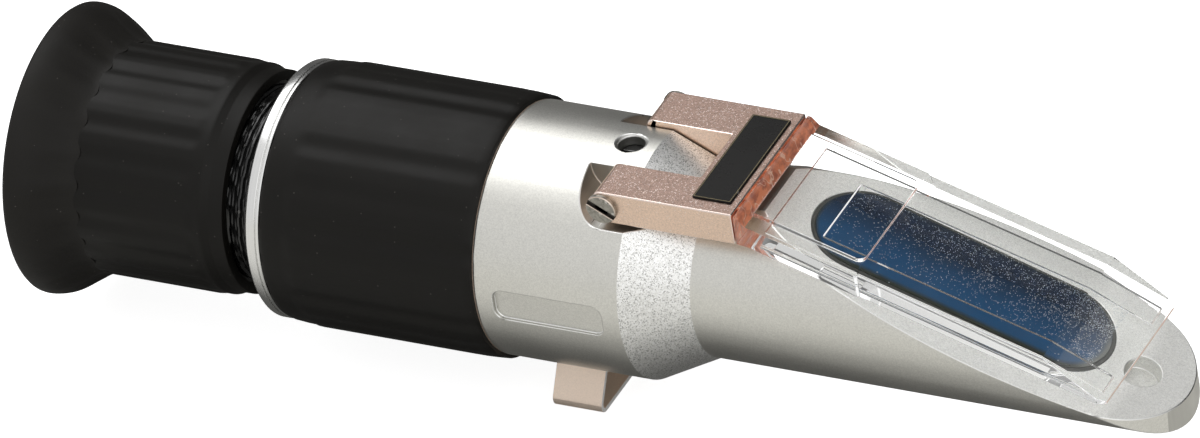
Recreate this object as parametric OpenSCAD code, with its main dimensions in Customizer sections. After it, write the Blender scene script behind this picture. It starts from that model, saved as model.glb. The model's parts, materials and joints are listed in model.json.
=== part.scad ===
// Hand-held coolant refractometer with a hinged cover plate, a focusing eyepiece and a foot.
// X runs along the optical axis towards the nose, Z is up, and the foot stands on Z = 0.

/* [Body] */
// Height of the optical axis above the foot's underside
axis_h = 21.5; // [20:0.5:26]
// Distance from the foot's middle to the start of the cone
cone_start_x = 12.6; // [12:0.1:16]
// Radius of the main barrel
barrel_r = 16.8; // [16.2:0.1:17.4]
// Length of the main barrel in front of the grip
barrel_len = 20.9; // [19.5:0.1:24]
// Length of the cone between the two barrels
cone_len = 8.4; // [7:0.1:9]
// Radius of the front barrel
front_r = 12.55; // [12.2:0.05:12.9]
// Distance from the cone's start to the tip of the nose
nose_x = 72.3; // [71:0.1:76]
// Radius of the nose seen from above
nose_r = 11.6; // [10:0.1:12.4]
// Angle of the inclined face to the optical axis
incline_angle = 20; // [19:0.1:20.5]
// Distance from the cone's start to where the inclined face crosses the optical axis
incline_x = 48.35; // [47.5:0.05:50]
// Radius of the light tunnel behind the prism
tunnel_r = 6.2; // [5:0.1:6.4]
// Length of the light tunnel in front of the cone's start
tunnel_len = 31; // [28:0.5:34]
// Radius of the front bore, which holds the objective carrier
bore_r = 11; // [10.6:0.1:11.4]
// Radius of the blind finger notch near the nose
notch_r = 2.8; // [2:0.1:3.2]
// Depth of the finger notch
notch_depth = 2.2; // [1:0.1:3]
// Distance from the cone's start to the finger notch
notch_x = 65.7; // [64:0.1:66.5]

/* [Side recess] */
// Length of the milled recess on the side of the barrel
recess_len = 15.7; // [12:0.1:17]
// Height of the milled recess
recess_h = 4.5; // [3:0.1:6]
// Depth of the milled recess at its middle
recess_depth = 0.65; // [0.3:0.05:0.8]
// Distance from the cone's start back to the recess
recess_x = 2.5; // [2:0.1:3]
// Radius of the recess's corners
recess_corner_r = 1.4; // [1:0.1:1.4]

/* [Prism] */
// Width of the prism face
prism_w = 13.4; // [12:0.1:14]
// Length of the prism face along the incline
prism_len = 40.8; // [38:0.1:42]
// Thickness of the prism below the inclined face
prism_depth = 5.8; // [4:0.1:6.2]
// Height of the prism face above the inclined face
prism_proud = 0.12; // [0.05:0.01:0.2]
// Distance from the cone's start to the prism's middle
prism_x = 41.2; // [40.4:0.1:42]
// Width of the seal round the prism
seal_w = 0.5; // [0.3:0.05:0.8]

/* [Lid frame] */
// Distance of the hinge axis behind the cone's start
hinge_back = 2.8; // [2.4:0.1:3.2]
// Height of the hinge axis above the optical axis
hinge_z = 14.65; // [14.5:0.05:14.9]
// Thickness of the lid frame
frame_t = 4.7; // [4.2:0.1:4.8]
// Distance from the hinge axis to the rear end of the arms
frame_end = 1.2; // [1.1:0.1:2]
// Radius of the edges at the arms' rear ends
frame_end_r = 1; // [0.5:0.1:1.1]
// Width of the lid frame across its arms
frame_w = 22.8; // [22:0.1:23.4]
// Distance between the insides of the arms
arm_gap = 9.6; // [9.2:0.1:10.4]
// Distance from the cone's start to the inside of the web
web_x = 8.5; // [8.3:0.1:9.5]
// Distance from the cone's start to the frame's front face
frame_front_x = 15.9; // [15.7:0.1:16.2]
// Depth of the label plate along the optical axis
label_d = 5.5; // [4.5:0.1:6]
// Width of the label plate
label_w = 18.5; // [16:0.1:20]
// Thickness of the label plate
label_t = 0.3; // [0.2:0.05:0.4]

/* [Cover plate] */
// Width of the cover plate at its rear half
plate_w = 23; // [22.4:0.1:23.6]
// Set-in of each side of the plate's front half
plate_step = 0.25; // [0.1:0.05:0.4]
// Slope of the plate's top face
plate_angle = 18.1; // [17.9:0.1:18.4]
// Thickness of the plate at its flange, measured upright
rim_h = 3.2; // [2.9:0.1:3.3]
// Thickness of the plate's front edge
plate_edge_t = 0.4; // [0.3:0.05:0.6]
// Height of the rims and the pad below the plate's sheet, measured upright
pad_t = 0.4; // [0.2:0.05:0.6]
// Width of each side rim
rim_w = 1.2; // [0.8:0.1:1.6]
// Distance from the cone's start to the plate's front end
plate_end_x = 66; // [65:0.1:67]
// Length of the bevelled stretch at the plate's front end
bevel_len = 8; // [6:0.5:10]
// Width of the plate at its front end
plate_end_w = 21; // [19:0.1:21.5]
// Length of the slanted corners at the plate's front end
plate_corner_len = 1.1; // [0.8:0.1:1.6]
// Width of the pad under the plate
pad_w = 11.6; // [10:0.1:12.4]
// Distance from the cone's start to the pad
pad_x = 25.2; // [24:0.1:26]
// Thickness of the mounting tab on top of the plate
tab_t = 0.55; // [0.4:0.05:0.8]
// Width of the mounting tab
tab_w = 17.8; // [16:0.1:19]
// Distance from the cone's start to the end of the mounting tab
tab_end_x = 32.6; // [30:0.1:34]

/* [Grip] */
// Radius of the rubber grip
grip_r = 17.6; // [17.4:0.05:18]
// Length of the rubber grip
grip_len = 31; // [28:0.5:34]
// Number of flutes round the grip
grip_flutes = 20; // [10:1:24]
// Share of the grip's girth that its flutes take up
grip_flute_share = 0.6; // [0.4:0.05:0.9]
// Depth of the flutes in the grip
grip_flute_depth = 0.3; // [0.2:0.05:0.6]
// Angle of the first flute from the top of the grip
grip_flute_turn = 14; // [0:0.5:18]
// Radius of the body tube under the grip
grip_seat_r = 15.6; // [15.4:0.1:15.8]
// Radius of the bright collar behind the grip
collar_r = 17.1; // [16.8:0.1:17.4]
// Width of the collar
collar_w = 2; // [1.6:0.1:2.4]

/* [Eyepiece] */
// Distance from the collar back to the focus sleeve
focus_gap = 4.4; // [4.2:0.1:5.5]
// Length of the focus sleeve
sleeve_len = 21.5; // [20:0.5:24]
// Radius of the focus sleeve
sleeve_r = 15.5; // [15.2:0.1:16]
// Number of flutes round the focus sleeve
sleeve_flutes = 22; // [12:1:30]
// Share of the sleeve's girth that its flutes take up
sleeve_flute_share = 0.6; // [0.4:0.05:0.9]
// Depth of the flutes in the focus sleeve
sleeve_flute_depth = 0.25; // [0.15:0.05:0.5]
// Angle of the first flute from the top of the focus sleeve
sleeve_flute_turn = 4; // [0:0.5:16]
// Radius of the eyecup's rim
eyecup_r = 19.4; // [18.5:0.1:21]
// Length of the eyecup's flare
eyecup_len = 8.7; // [7:0.1:10]
// Radius of the barrel's threaded stretch
thread_r = 12.92; // [12.8:0.01:12.95]
// Radius of the barrel's bore
barrel_bore_r = 11.4; // [11:0.1:11.6]
// Distance that one turn of the eyepiece moves it
focus_lead = 4; // [2:0.5:4]
// Radius of the lenses in the eyepiece
lens_r = 10.4; // [9:0.1:10.6]

/* [Foot] */
// Length of the foot along the optical axis
foot_len = 7.1; // [6:0.1:9]
// Width of the foot's underside
foot_w = 21.1; // [20:0.1:22]
// Thickness of the foot's sheet metal
foot_t = 0.6; // [0.5:0.05:1]
// Width of the foot where its walls enter the body
foot_top_w = 13.1; // [12.4:0.1:14]
// Outer radius of the foot's two bends
foot_bend_r = 1.2; // [1.1:0.1:1.6]

/* [Hidden] */
$fn = 96;

// An overrun for every cut, and the clearances that the fits share
cut = 1;
running = 0.05;
seated = 0.02;
apart = 0.3;

// Stations along the optical axis, counted from the cone's start
grip_front_x = -barrel_len;
grip_rear_x = grip_front_x - grip_len;
collar_rear_x = grip_rear_x - collar_w;
sleeve_front_x = collar_rear_x - focus_gap;
sleeve_rear_x = sleeve_front_x - sleeve_len;
eyecup_rear_x = sleeve_rear_x - eyecup_len;

// Bores inside the body
bore_front_x = -1;
bore_step_x = -30;
rear_bore_r = 14;
body_edge = 0.2;

// Hinge, its screws and the pockets for the arms
frame_bottom_z = hinge_z - frame_t / 2;
frame_top_z = hinge_z + frame_t / 2;
arm_play = 0.2;
pocket_drop = 0.7;
pocket_shift = 0.6;
web_play = 0.9;
pocket_floor_y = arm_gap / 2 - arm_play;
pocket_bottom_z = frame_bottom_z - pocket_drop;
pocket_r = 4.2;
pocket_x = -hinge_back - pocket_shift;
web_relief_x = web_x - web_play;
hinge_screw_r = 1;
hinge_head_r = 2.1;
hinge_head_h = 1.3;
hinge_slot_w = 0.65;
hinge_slot_depth = 0.6;
hinge_slot_angle = 25;
hinge_thread_len = 2.3;

// Calibration screw, captive in the body above the objective carrier
calibration_back = 1;
calibration_x = -hinge_back - calibration_back;
calibration_hole_r = 1.8;
calibration_chamfer = 0.35;
calibration_floor_z = 13.6;
calibration_head_r = 1.6;
calibration_head_h = 1.5;
calibration_shank_r = 0.8;
calibration_slot_w = 0.45;
calibration_slot_depth = 0.6;

// Objective carrier, its lens, spring and baffle
carrier_r = 9.8;
carrier_t = 3.4;
objective_r = 6;
objective_t = 2.4;
objective_bulge = 0.5;
carrier_lip = 0.6;
carrier_bore_z = 7;
baffle_t = 0.8;
baffle_hole_r = 4.6;
spring_t = 0.2;
spring_w = 3;
spring_reach = 4.4;

// Bimetal strip of the temperature compensation, clamped to the bottom of the bore
bimetal_len = 14;
bimetal_w = 4;
bimetal_t = 0.5;
bimetal_screw_inset = 2;
bimetal_front_x = calibration_x - carrier_t / 2 - apart;
bimetal_screw_x = bimetal_front_x - bimetal_len + bimetal_screw_inset;
bimetal_head_r = 1.3;
bimetal_head_h = 0.8;
bimetal_shank_r = 0.7;
bimetal_screw_depth = 2;

// Reticle and the cell that holds it
cell_t = 3;
cell_front_x = bore_step_x - 2 * running;
cell_bore_r = 8.4;
reticle_r = 10;
reticle_t = 1;
retainer_t = 1;
retainer_bore_r = 8.6;

// Ocular socket, travel stop ring and eyepiece barrel
socket_r = rear_bore_r - seated;
socket_flange_r = 15.2;
socket_flange_t = 0.6;
socket_bore_r = thread_r + running + seated;
socket_front_x = cell_front_x - cell_t - apart;
barrel_reach = 12.6;
barrel_front_x = collar_rear_x + barrel_reach;
eyecup_neck_len = 3;
barrel_rear_x = sleeve_rear_x + eyecup_neck_len;
barrel_seat_r = 13.5;
barrel_shoulder = 0.9;
stop_groove_r = 12.1;
stop_ring_w = 1.2;
stop_groove_w = stop_ring_w + 4 * running;
stop_groove_back = 2.2;
stop_groove_x = barrel_front_x - stop_groove_back;
stop_key_w = 2;
stop_key_r = 13.5;
keyway_r = stop_key_r + 4 * running;
outward_travel = 0.5 * focus_lead;

// Lenses between the lens retainer and the barrel's inner lip
lens_rim = 0.8;
lens_seat_r = lens_r - lens_rim;
lens_lip_w = 1;
eye_lens_t = 3.6;
eye_lens_bulge = 1.2;
spacer_len = 5;
field_lens_t = 3;
field_lens_bulge = 1;
retainer_len = 1.6;
retainer_inset = 1.2;
lens_rear_x = barrel_rear_x + retainer_inset;
lens_steps = 8;

// Ends of the grip, the collar, the focus sleeve and the eyecup
grip_end_drop = 0.3;
grip_end_len = 2.4;
grip_front_round = 0.8;
collar_edge = 0.35;
collar_band_share = 0.72;
sleeve_lip_drop = 0.65;
sleeve_lip_len = 2.1;
sleeve_bevel_len = 1.05;
eyecup_wall = 1.5;
bell_power = 1.6;
eyecup_steps = 8;

// Foot
foot_groove_depth = 0.9;
foot_bend_steps = 6;

// Label, adhesive film and the points of the plate's side view
label_inset = 0.9;
film_t = 0.25;
film_side_inset = 2;
film_edge_inset = 0.4;
plate_slope = tan(plate_angle);
plate_rear_x = frame_front_x + film_t;
flange_t = 1.55;
flange_foot = 0.2;
flange_head = 0.3;
flange_crown = 0.4;
flange_drop = 1.5;
flange_front_x = plate_rear_x + flange_t;
plate_top_at_flange = frame_top_z - flange_drop;
bevel_drop = 5.9;
bevel_x = plate_end_x - bevel_len;
hollow_rear_x = flange_front_x + rim_w;
hollow_front_x = plate_end_x - rim_w;
tab_corner_r = 1.2;

function plate_top(x) = plate_top_at_flange - plate_slope * (x - flange_front_x);

// The underside falls a little faster than the top, straight to the foot of the thin front edge
plate_edge_z = plate_top(bevel_x) - bevel_drop;
under_slope = (plate_top_at_flange - rim_h - plate_edge_z + plate_edge_t) / (plate_end_x - flange_front_x);
function plate_under(x) = plate_edge_z - plate_edge_t + under_slope * (plate_end_x - x);

module on_axis() translate([cone_start_x, 0, axis_h]) children();

// A solid of revolution about the optical axis, from points given as station and radius
module turned_piece(outline)
    rotate([0, 90, 0])
        rotate([0, 0, 90])
            rotate_extrude() polygon([for (p = outline) [p[1], p[0]]]);

module rod(x0, x1, r) translate([x0, 0, 0]) rotate([0, 90, 0]) cylinder(h = x1 - x0, r = r);

module tube(x0, x1, r_out, r_in)
    turned_piece([[x0, r_in], [x0, r_out], [x1, r_out], [x1, r_in]]);

module on_incline() translate([incline_x, 0, 0]) rotate([0, incline_angle, 0]) children();

// A side view, drawn in station and height, given the width that runs from y0 to y1
module side_slab(y0, y1)
    translate([0, y1, 0]) rotate([90, 0, 0]) linear_extrude(height = y1 - y0) children();

module stadium(len, w, h)
    linear_extrude(height = h) {
        square([len - w, w], center = true);
        for (side = [-1, 1]) translate([side * (len - w) / 2, 0]) circle(d = w);
    }

module prism_block(grow, top, depth)
    on_incline()
        translate([(prism_x - incline_x) / cos(incline_angle), 0, -depth])
            stadium(prism_len + 2 * grow, prism_w + 2 * grow, depth + top);

module hinge_rod(y0, y1, r)
    for (side = [-1, 1])
        translate([-hinge_back, side * y0, hinge_z])
            rotate([-side * 90, 0, 0]) cylinder(h = y1 - y0, r = r);

module body_blank()
    turned_piece([
        [grip_rear_x, 0], [grip_rear_x, grip_seat_r], [grip_front_x, grip_seat_r],
        [grip_front_x, barrel_r - body_edge], [grip_front_x + body_edge, barrel_r], [0, barrel_r],
        [cone_len, front_r], [nose_x, front_r], [nose_x, 0]
    ]);

// The plan outline rounds the nose into an upright wall
module nose_plan()
    translate([0, 0, -barrel_r - cut])
        linear_extrude(height = 2 * (barrel_r + cut)) {
            translate([grip_rear_x - cut, -barrel_r - cut])
                square([nose_x - nose_r - grip_rear_x + cut, 2 * (barrel_r + cut)]);
            translate([nose_x - nose_r, 0]) intersection() {
                circle(r = nose_r);
                translate([0, -nose_r]) square([nose_r, 2 * nose_r]);
            }
            nose_shoulder();
        }

// The nose is a little narrower than the barrel, so its shoulder is cut back to it at a slant
module nose_shoulder()
    polygon([
        [nose_x - nose_r, -nose_r], [nose_x - nose_r, nose_r],
        [nose_x - nose_r - cut, front_r + cut], [nose_x - nose_r - cut, -front_r - cut]
    ]);

module incline_cutter()
    on_incline() translate([-nose_x, -barrel_r - cut, 0]) cube([2 * nose_x, 2 * (barrel_r + cut), nose_x]);

module arm_pocket()
    for (side = [-1, 1]) mirror([0, side < 0 ? 1 : 0, 0])
        side_slab(pocket_floor_y, barrel_r + cut) {
            translate([pocket_x, pocket_bottom_z + pocket_r]) circle(r = pocket_r);
            translate([pocket_x, pocket_bottom_z]) square([frame_front_x - pocket_x + cut, barrel_r]);
            translate([pocket_x - pocket_r, pocket_bottom_z + pocket_r]) square([2 * pocket_r, barrel_r]);
        }

module web_relief()
    translate([web_relief_x, -barrel_r, pocket_bottom_z])
        cube([frame_front_x - web_relief_x + cut, 2 * barrel_r, barrel_r]);

module calibration_hole()
    translate([calibration_x, 0, 0]) {
        translate([0, 0, calibration_floor_z]) cylinder(h = barrel_r, r = calibration_hole_r);
        cylinder(h = barrel_r, r = calibration_shank_r + running);
        translate([0, 0, barrel_r - calibration_chamfer])
            cylinder(
                h = 2 * calibration_chamfer,
                r1 = calibration_hole_r,
                r2 = calibration_hole_r + 2 * calibration_chamfer
            );
    }

module rounded_plate(len, w, h, corner_r)
    linear_extrude(height = h) {
        square([len - 2 * corner_r, w], center = true);
        square([len, w - 2 * corner_r], center = true);
        for (end = [-1, 1], side = [-1, 1])
            translate([end * (len / 2 - corner_r), side * (w / 2 - corner_r)]) circle(r = corner_r);
    }

module side_recess()
    translate([-recess_x - recess_len / 2, -barrel_r + recess_depth, 0])
        rotate([90, 0, 0]) rounded_plate(recess_len, recess_h, recess_depth + cut, recess_corner_r);

// Height, below the optical axis, at which the foot's walls meet the body
function foot_top_z() = sqrt(pow(barrel_r, 2) - pow(foot_top_w / 2, 2));

// How far a wall of the foot leans inward for each unit of height, and where its bend starts
function foot_lean() = (foot_w - foot_top_w) / 2 / (axis_h - foot_top_z());
function foot_bend_y() = foot_w / 2 - foot_bend_r * tan(45 + atan(foot_lean()) / 2);
function foot_wall_y(inset, z) = foot_w / 2 - inset * sqrt(1 + pow(foot_lean(), 2)) - foot_lean() * z;

// One half of the foot seen along the axis, from its floor round the bend to a height
function foot_path(inset, top_z) = concat(
    [for (i = [0:foot_bend_steps])
        let (a = (90 + atan(foot_lean())) * i / foot_bend_steps - 90, r = foot_bend_r - inset)
        [foot_bend_y() + r * cos(a), foot_bend_r + r * sin(a) - axis_h]],
    [[foot_wall_y(inset, top_z), top_z - axis_h]]
);
function reversed(path) = [for (i = [len(path) - 1:-1:0]) path[i]];
function mirrored(path) = [for (p = path) [-p[0], p[1]]];

module foot_sheet(play) {
    top_z = axis_h + foot_groove_depth + play - running - foot_top_z();
    outer = foot_path(-play, top_z);
    inner = foot_path(foot_t + play, top_z);
    translate([-cone_start_x - foot_len / 2 - play, 0, 0])
        rotate([90, 0, 90]) linear_extrude(height = foot_len + 2 * play)
            polygon(concat(reversed(mirrored(outer)), outer, reversed(inner), mirrored(inner)));
}

module body_housing() color([0.78, 0.78, 0.76]) on_axis() difference() {
    intersection() {
        body_blank();
        nose_plan();
    }
    incline_cutter();
    rod(grip_rear_x - cut, bore_step_x, rear_bore_r);
    rod(bore_step_x - cut, bore_front_x, bore_r);
    rod(bore_front_x - cut, tunnel_len, tunnel_r);
    prism_block(seal_w, cut, prism_depth);
    arm_pocket();
    web_relief();
    calibration_hole();
    side_recess();
    hinge_rod(pocket_floor_y - hinge_thread_len, pocket_floor_y + cut, hinge_screw_r + seated);
    translate([bimetal_screw_x, 0, -bore_r - bimetal_screw_depth])
        cylinder(h = bimetal_screw_depth + cut, r = bimetal_shank_r + seated);
    foot_sheet(running);
    on_incline() translate([(notch_x - incline_x) / cos(incline_angle), 0, -notch_depth])
        cylinder(h = notch_depth + cut, r = notch_r);
}

module prism() color([0.1, 0.3, 0.45]) on_axis() difference() {
    prism_block(-seated, prism_proud, prism_depth - seated);
    rod(0, prism_x - prism_len / 2 + 2 * tunnel_r / 3, tunnel_r);
}

module prism_seal() color([0.35, 0.35, 0.33]) on_axis() difference() {
    prism_block(seal_w - seated, 0, 2 * seal_w);
    prism_block(0, cut, prism_depth + cut);
}

module light_baffle() color("black") on_axis()
    tube(bore_front_x - baffle_t, bore_front_x, bore_r - seated, baffle_hole_r);

module objective_carrier() color("black") on_axis() difference() {
    carrier_rear_x = calibration_x - carrier_t / 2;
    carrier_front_x = calibration_x + carrier_t / 2;
    turned_piece([
        [carrier_rear_x, objective_r - carrier_lip], [carrier_rear_x, carrier_r],
        [carrier_front_x, carrier_r], [carrier_front_x, objective_r + seated],
        [carrier_rear_x + carrier_lip, objective_r + seated],
        [carrier_rear_x + carrier_lip, objective_r - carrier_lip]
    ]);
    translate([calibration_x, 0, carrier_bore_z]) cylinder(h = carrier_r, r = calibration_shank_r + running);
}

// Radius of a lens face, and how far the face falls back from its crown at a radius
function face_r(r, bulge) = (pow(r, 2) + pow(bulge, 2)) / (2 * bulge);
function face_drop(at, r, bulge) = face_r(r, bulge) - sqrt(pow(face_r(r, bulge), 2) - pow(at, 2));

// A lens with two bulging faces, from the crown of its rear face
module lens(x0, thick, r, bulge) {
    arc_r = face_r(r, bulge);
    sweep = asin(r / arc_r);
    turned_piece(concat(
        [for (i = [0:lens_steps]) let (a = sweep * i / lens_steps)
            [x0 + arc_r - arc_r * cos(a), arc_r * sin(a)]],
        [for (i = [lens_steps:-1:0]) let (a = sweep * i / lens_steps)
            [x0 + thick - arc_r + arc_r * cos(a), arc_r * sin(a)]]
    ));
}

module objective_lens() color([0.75, 0.85, 0.9, 0.5]) on_axis()
    lens(calibration_x - carrier_t / 2 + carrier_lip + seated, objective_t, objective_r, objective_bulge);

// A thin bow that rests on the bottom of the bore and whose tips meet the carrier
module carrier_spring() color("silver") on_axis() {
    tip_z = -sqrt(pow(carrier_r, 2) - pow(spring_reach, 2)) - running;
    rise = tip_z + bore_r - running - spring_t;
    inner_r = (pow(spring_reach, 2) + pow(rise, 2)) / (2 * rise);
    outer_r = inner_r + spring_t;
    translate([calibration_x - spring_w / 2, 0, outer_r + running - bore_r])
        rotate([90, 0, 90]) linear_extrude(height = spring_w)
            intersection() {
                difference() {
                    circle(r = outer_r);
                    circle(r = inner_r);
                }
                translate([-spring_reach, -outer_r - cut]) square([2 * spring_reach, outer_r + cut]);
            }
}

module calibration_screw() color([0.15, 0.15, 0.16]) on_axis()
    translate([calibration_x, 0, 0]) difference() {
        union() {
            translate([0, 0, carrier_bore_z + apart])
                cylinder(h = calibration_floor_z - carrier_bore_z, r = calibration_shank_r);
            translate([0, 0, calibration_floor_z + running])
                cylinder(h = calibration_head_h, r = calibration_head_r);
        }
        translate([-calibration_head_r - cut, -calibration_slot_w / 2,
                calibration_floor_z + running + calibration_head_h - calibration_slot_depth])
            cube([2 * (calibration_head_r + cut), calibration_slot_w, calibration_slot_depth + cut]);
    }

// Height of the bottom of the bore under the edges of the bimetal strip
function strip_seat_z() = -sqrt(pow(bore_r, 2) - pow(bimetal_w / 2, 2)) + seated;

module bimetal_strip() color([0.72, 0.6, 0.4]) on_axis() difference() {
    translate([bimetal_front_x - bimetal_len, -bimetal_w / 2, strip_seat_z()])
        cube([bimetal_len, bimetal_w, bimetal_t]);
    translate([bimetal_screw_x, 0, -bore_r]) cylinder(h = bore_r, r = bimetal_shank_r + running);
}

module bimetal_screw() color("silver") on_axis() translate([bimetal_screw_x, 0, 0]) {
    translate([0, 0, strip_seat_z() + bimetal_t]) cylinder(h = bimetal_head_h, r = bimetal_head_r);
    translate([0, 0, -bore_r - bimetal_screw_depth + running])
        cylinder(h = bore_r + bimetal_screw_depth + strip_seat_z() + bimetal_t, r = bimetal_shank_r);
}

module reticle_cell() color("black") on_axis()
    turned_piece([
        [cell_front_x - cell_t, reticle_r + seated], [cell_front_x - cell_t, rear_bore_r - seated],
        [cell_front_x, rear_bore_r - seated], [cell_front_x, cell_bore_r],
        [cell_front_x - cell_t + reticle_t + retainer_t, cell_bore_r],
        [cell_front_x - cell_t + reticle_t + retainer_t, reticle_r + seated]
    ]);

module reticle() color([0.85, 0.92, 0.9, 0.5]) on_axis()
    translate([cell_front_x - cell_t + retainer_t, 0, 0]) rod(0, reticle_t - seated, reticle_r);

module reticle_retainer() color([0.2, 0.2, 0.2]) on_axis()
    tube(cell_front_x - cell_t, cell_front_x - cell_t + retainer_t - seated, reticle_r, retainer_bore_r);

// Flutes: round grooves along a sleeve, shallow because their cutters stand far out
module flutes(x0, x1, r, depth, count, share, turn) {
    flute_w = 2 * PI * r * share / count;
    flute_r = (pow(flute_w / 2, 2) + pow(depth, 2)) / (2 * depth);
    for (i = [0:count - 1]) rotate([turn + i * 360 / count, 0, 0])
        translate([0, 0, r + flute_r - depth]) rod(x0, x1, flute_r);
}

module rubber_grip() color([0.07, 0.07, 0.07]) on_axis() difference() {
    turned_piece([
        [grip_rear_x, grip_seat_r + seated], [grip_rear_x, grip_r - 2 * grip_end_drop],
        [grip_rear_x + grip_end_len, grip_r - grip_end_drop / 2], [grip_rear_x + grip_len / 3, grip_r],
        [grip_front_x - grip_len / 5, grip_r], [grip_front_x - grip_front_round, grip_r - grip_end_drop],
        [grip_front_x, grip_r - 2 * grip_end_drop], [grip_front_x, grip_seat_r + seated]
    ]);
    flutes(grip_rear_x - cut, grip_front_x - grip_end_len, grip_r,
        grip_flute_depth, grip_flutes, grip_flute_share, grip_flute_turn);
}

module grip_collar() color([0.9, 0.9, 0.88]) on_axis() {
    band_x = collar_rear_x + collar_band_share * collar_w;
    groove_x = band_x + collar_edge / 2;
    turned_piece([
        [collar_rear_x, rear_bore_r], [collar_rear_x, collar_r - collar_edge],
        [collar_rear_x + collar_edge, collar_r], [band_x, collar_r], [band_x, collar_r - collar_edge],
        [groove_x, collar_r - collar_edge], [groove_x, collar_r], [grip_rear_x, collar_r],
        [grip_rear_x, rear_bore_r]
    ]);
}

module ocular_socket() color([0.08, 0.08, 0.08]) on_axis() difference() {
    turned_piece([
        [collar_rear_x - socket_flange_t, socket_bore_r], [collar_rear_x - socket_flange_t, socket_flange_r],
        [collar_rear_x, socket_flange_r], [collar_rear_x, socket_r], [socket_front_x, socket_r],
        [socket_front_x, socket_bore_r]
    ]);
    keyway_start = stop_groove_x - outward_travel - apart;
    translate([keyway_start, -stop_key_w / 2 - running, -keyway_r])
        cube([socket_front_x - keyway_start + cut, stop_key_w + 2 * running, keyway_r]);
}

module travel_stop_ring() color([0.85, 0.83, 0.75]) on_axis() {
    ring_x = stop_groove_x + 2 * running;
    tube(ring_x, ring_x + stop_ring_w, thread_r - running, stop_groove_r + running);
    translate([ring_x, -stop_key_w / 2 + running, -stop_key_r])
        cube([stop_ring_w, stop_key_w - 2 * running, stop_key_r - stop_groove_r - 2 * running]);
}

// Stations of the lens stack, each seated on the one behind it at the lenses' rims
retainer_front_x = lens_rear_x + retainer_len;
eye_drop = face_drop(lens_seat_r, lens_r, eye_lens_bulge);
eye_lens_x = retainer_front_x + seated - eye_drop;
spacer_x = eye_lens_x + eye_lens_t - eye_drop + seated;
spacer_front_x = spacer_x + spacer_len;
field_drop = face_drop(lens_seat_r, lens_r, field_lens_bulge);
field_lens_x = spacer_front_x + seated - field_drop;
field_seat_x = field_lens_x + field_lens_t - field_drop + seated;

module eyepiece_barrel() color([0.06, 0.06, 0.06]) on_axis()
    turned_piece([
        [barrel_rear_x, barrel_bore_r], [barrel_rear_x, barrel_seat_r],
        [sleeve_front_x - barrel_shoulder, barrel_seat_r], [sleeve_front_x - barrel_shoulder, thread_r],
        [stop_groove_x, thread_r], [stop_groove_x, stop_groove_r],
        [stop_groove_x + stop_groove_w, stop_groove_r], [stop_groove_x + stop_groove_w, thread_r],
        [barrel_front_x, thread_r], [barrel_front_x, barrel_bore_r],
        [field_seat_x + lens_lip_w, barrel_bore_r], [field_seat_x + lens_lip_w, lens_seat_r],
        [field_seat_x, lens_seat_r], [field_seat_x, lens_r + seated],
        [lens_rear_x, lens_r + seated], [lens_rear_x, barrel_bore_r]
    ]);

module focus_sleeve() color([0.07, 0.07, 0.07]) on_axis() difference() {
    lip_r = sleeve_r - sleeve_lip_drop;
    bevel_front_x = sleeve_front_x - sleeve_lip_len;
    bevel_rear_x = bevel_front_x - sleeve_bevel_len;
    turned_piece([
        [sleeve_rear_x, barrel_seat_r + seated], [sleeve_rear_x, sleeve_r], [bevel_rear_x, sleeve_r],
        [bevel_front_x, lip_r], [sleeve_front_x, lip_r], [sleeve_front_x, barrel_seat_r + seated]
    ]);
    flutes(sleeve_rear_x - cut, bevel_rear_x - sleeve_flute_depth, sleeve_r,
        sleeve_flute_depth, sleeve_flutes, sleeve_flute_share, sleeve_flute_turn);
}

// Radius of the eyecup's bell at a share of its length, from the sleeve to the rim
function bell(share, r0, r1) = r0 + (r1 - r0) * pow(sin(90 * share), bell_power);

module eyecup() color([0.12, 0.1, 0.09]) on_axis() {
    lip = eyecup_wall / 2;
    turned_piece(concat(
        [[barrel_rear_x, barrel_bore_r], [barrel_rear_x, barrel_seat_r], [sleeve_rear_x, barrel_seat_r]],
        [for (i = [0:eyecup_steps]) let (share = i / eyecup_steps)
            [sleeve_rear_x - (eyecup_len - lip) * share, bell(share, sleeve_r, eyecup_r)]],
        [[eyecup_rear_x, eyecup_r - lip]],
        [for (i = [eyecup_steps:-1:0]) let (share = i / eyecup_steps)
            [sleeve_rear_x - eyecup_len * share, bell(share, barrel_bore_r, eyecup_r - eyecup_wall)]]
    ));
}

module eye_lens() color([0.75, 0.85, 0.9, 0.5]) on_axis()
    lens(eye_lens_x, eye_lens_t, lens_r, eye_lens_bulge);

module lens_spacer() color("black") on_axis() tube(spacer_x, spacer_front_x, lens_r, lens_seat_r);

module field_lens() color([0.75, 0.85, 0.9, 0.5]) on_axis()
    lens(field_lens_x, field_lens_t, lens_r, field_lens_bulge);

module lens_retainer() color("black") on_axis() tube(lens_rear_x, retainer_front_x, lens_r, lens_seat_r);

// The frame from the side, with rounded edges at the rear ends of its arms
module frame_view() {
    round_x = frame_end_r - hinge_back - frame_end;
    translate([round_x, frame_bottom_z]) square([frame_front_x - round_x, frame_t]);
    translate([-hinge_back - frame_end, frame_bottom_z + frame_end_r])
        square([frame_end, frame_t - 2 * frame_end_r]);
    for (z = [frame_bottom_z + frame_end_r, frame_top_z - frame_end_r])
        translate([round_x, z]) circle(r = frame_end_r);
}

module lid_frame() color([0.85, 0.68, 0.62]) on_axis() difference() {
    side_slab(-frame_w / 2, frame_w / 2) frame_view();
    translate([-hinge_back - frame_t, -arm_gap / 2, frame_bottom_z - cut])
        cube([web_x + hinge_back + frame_t, arm_gap, frame_t + 2 * cut]);
    hinge_rod(0, frame_w / 2 + cut, hinge_screw_r + running);
}

module lid_label() color([0.05, 0.05, 0.05]) on_axis()
    translate([web_x + label_inset, -label_w / 2, frame_top_z]) cube([label_d, label_w, label_t]);

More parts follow.
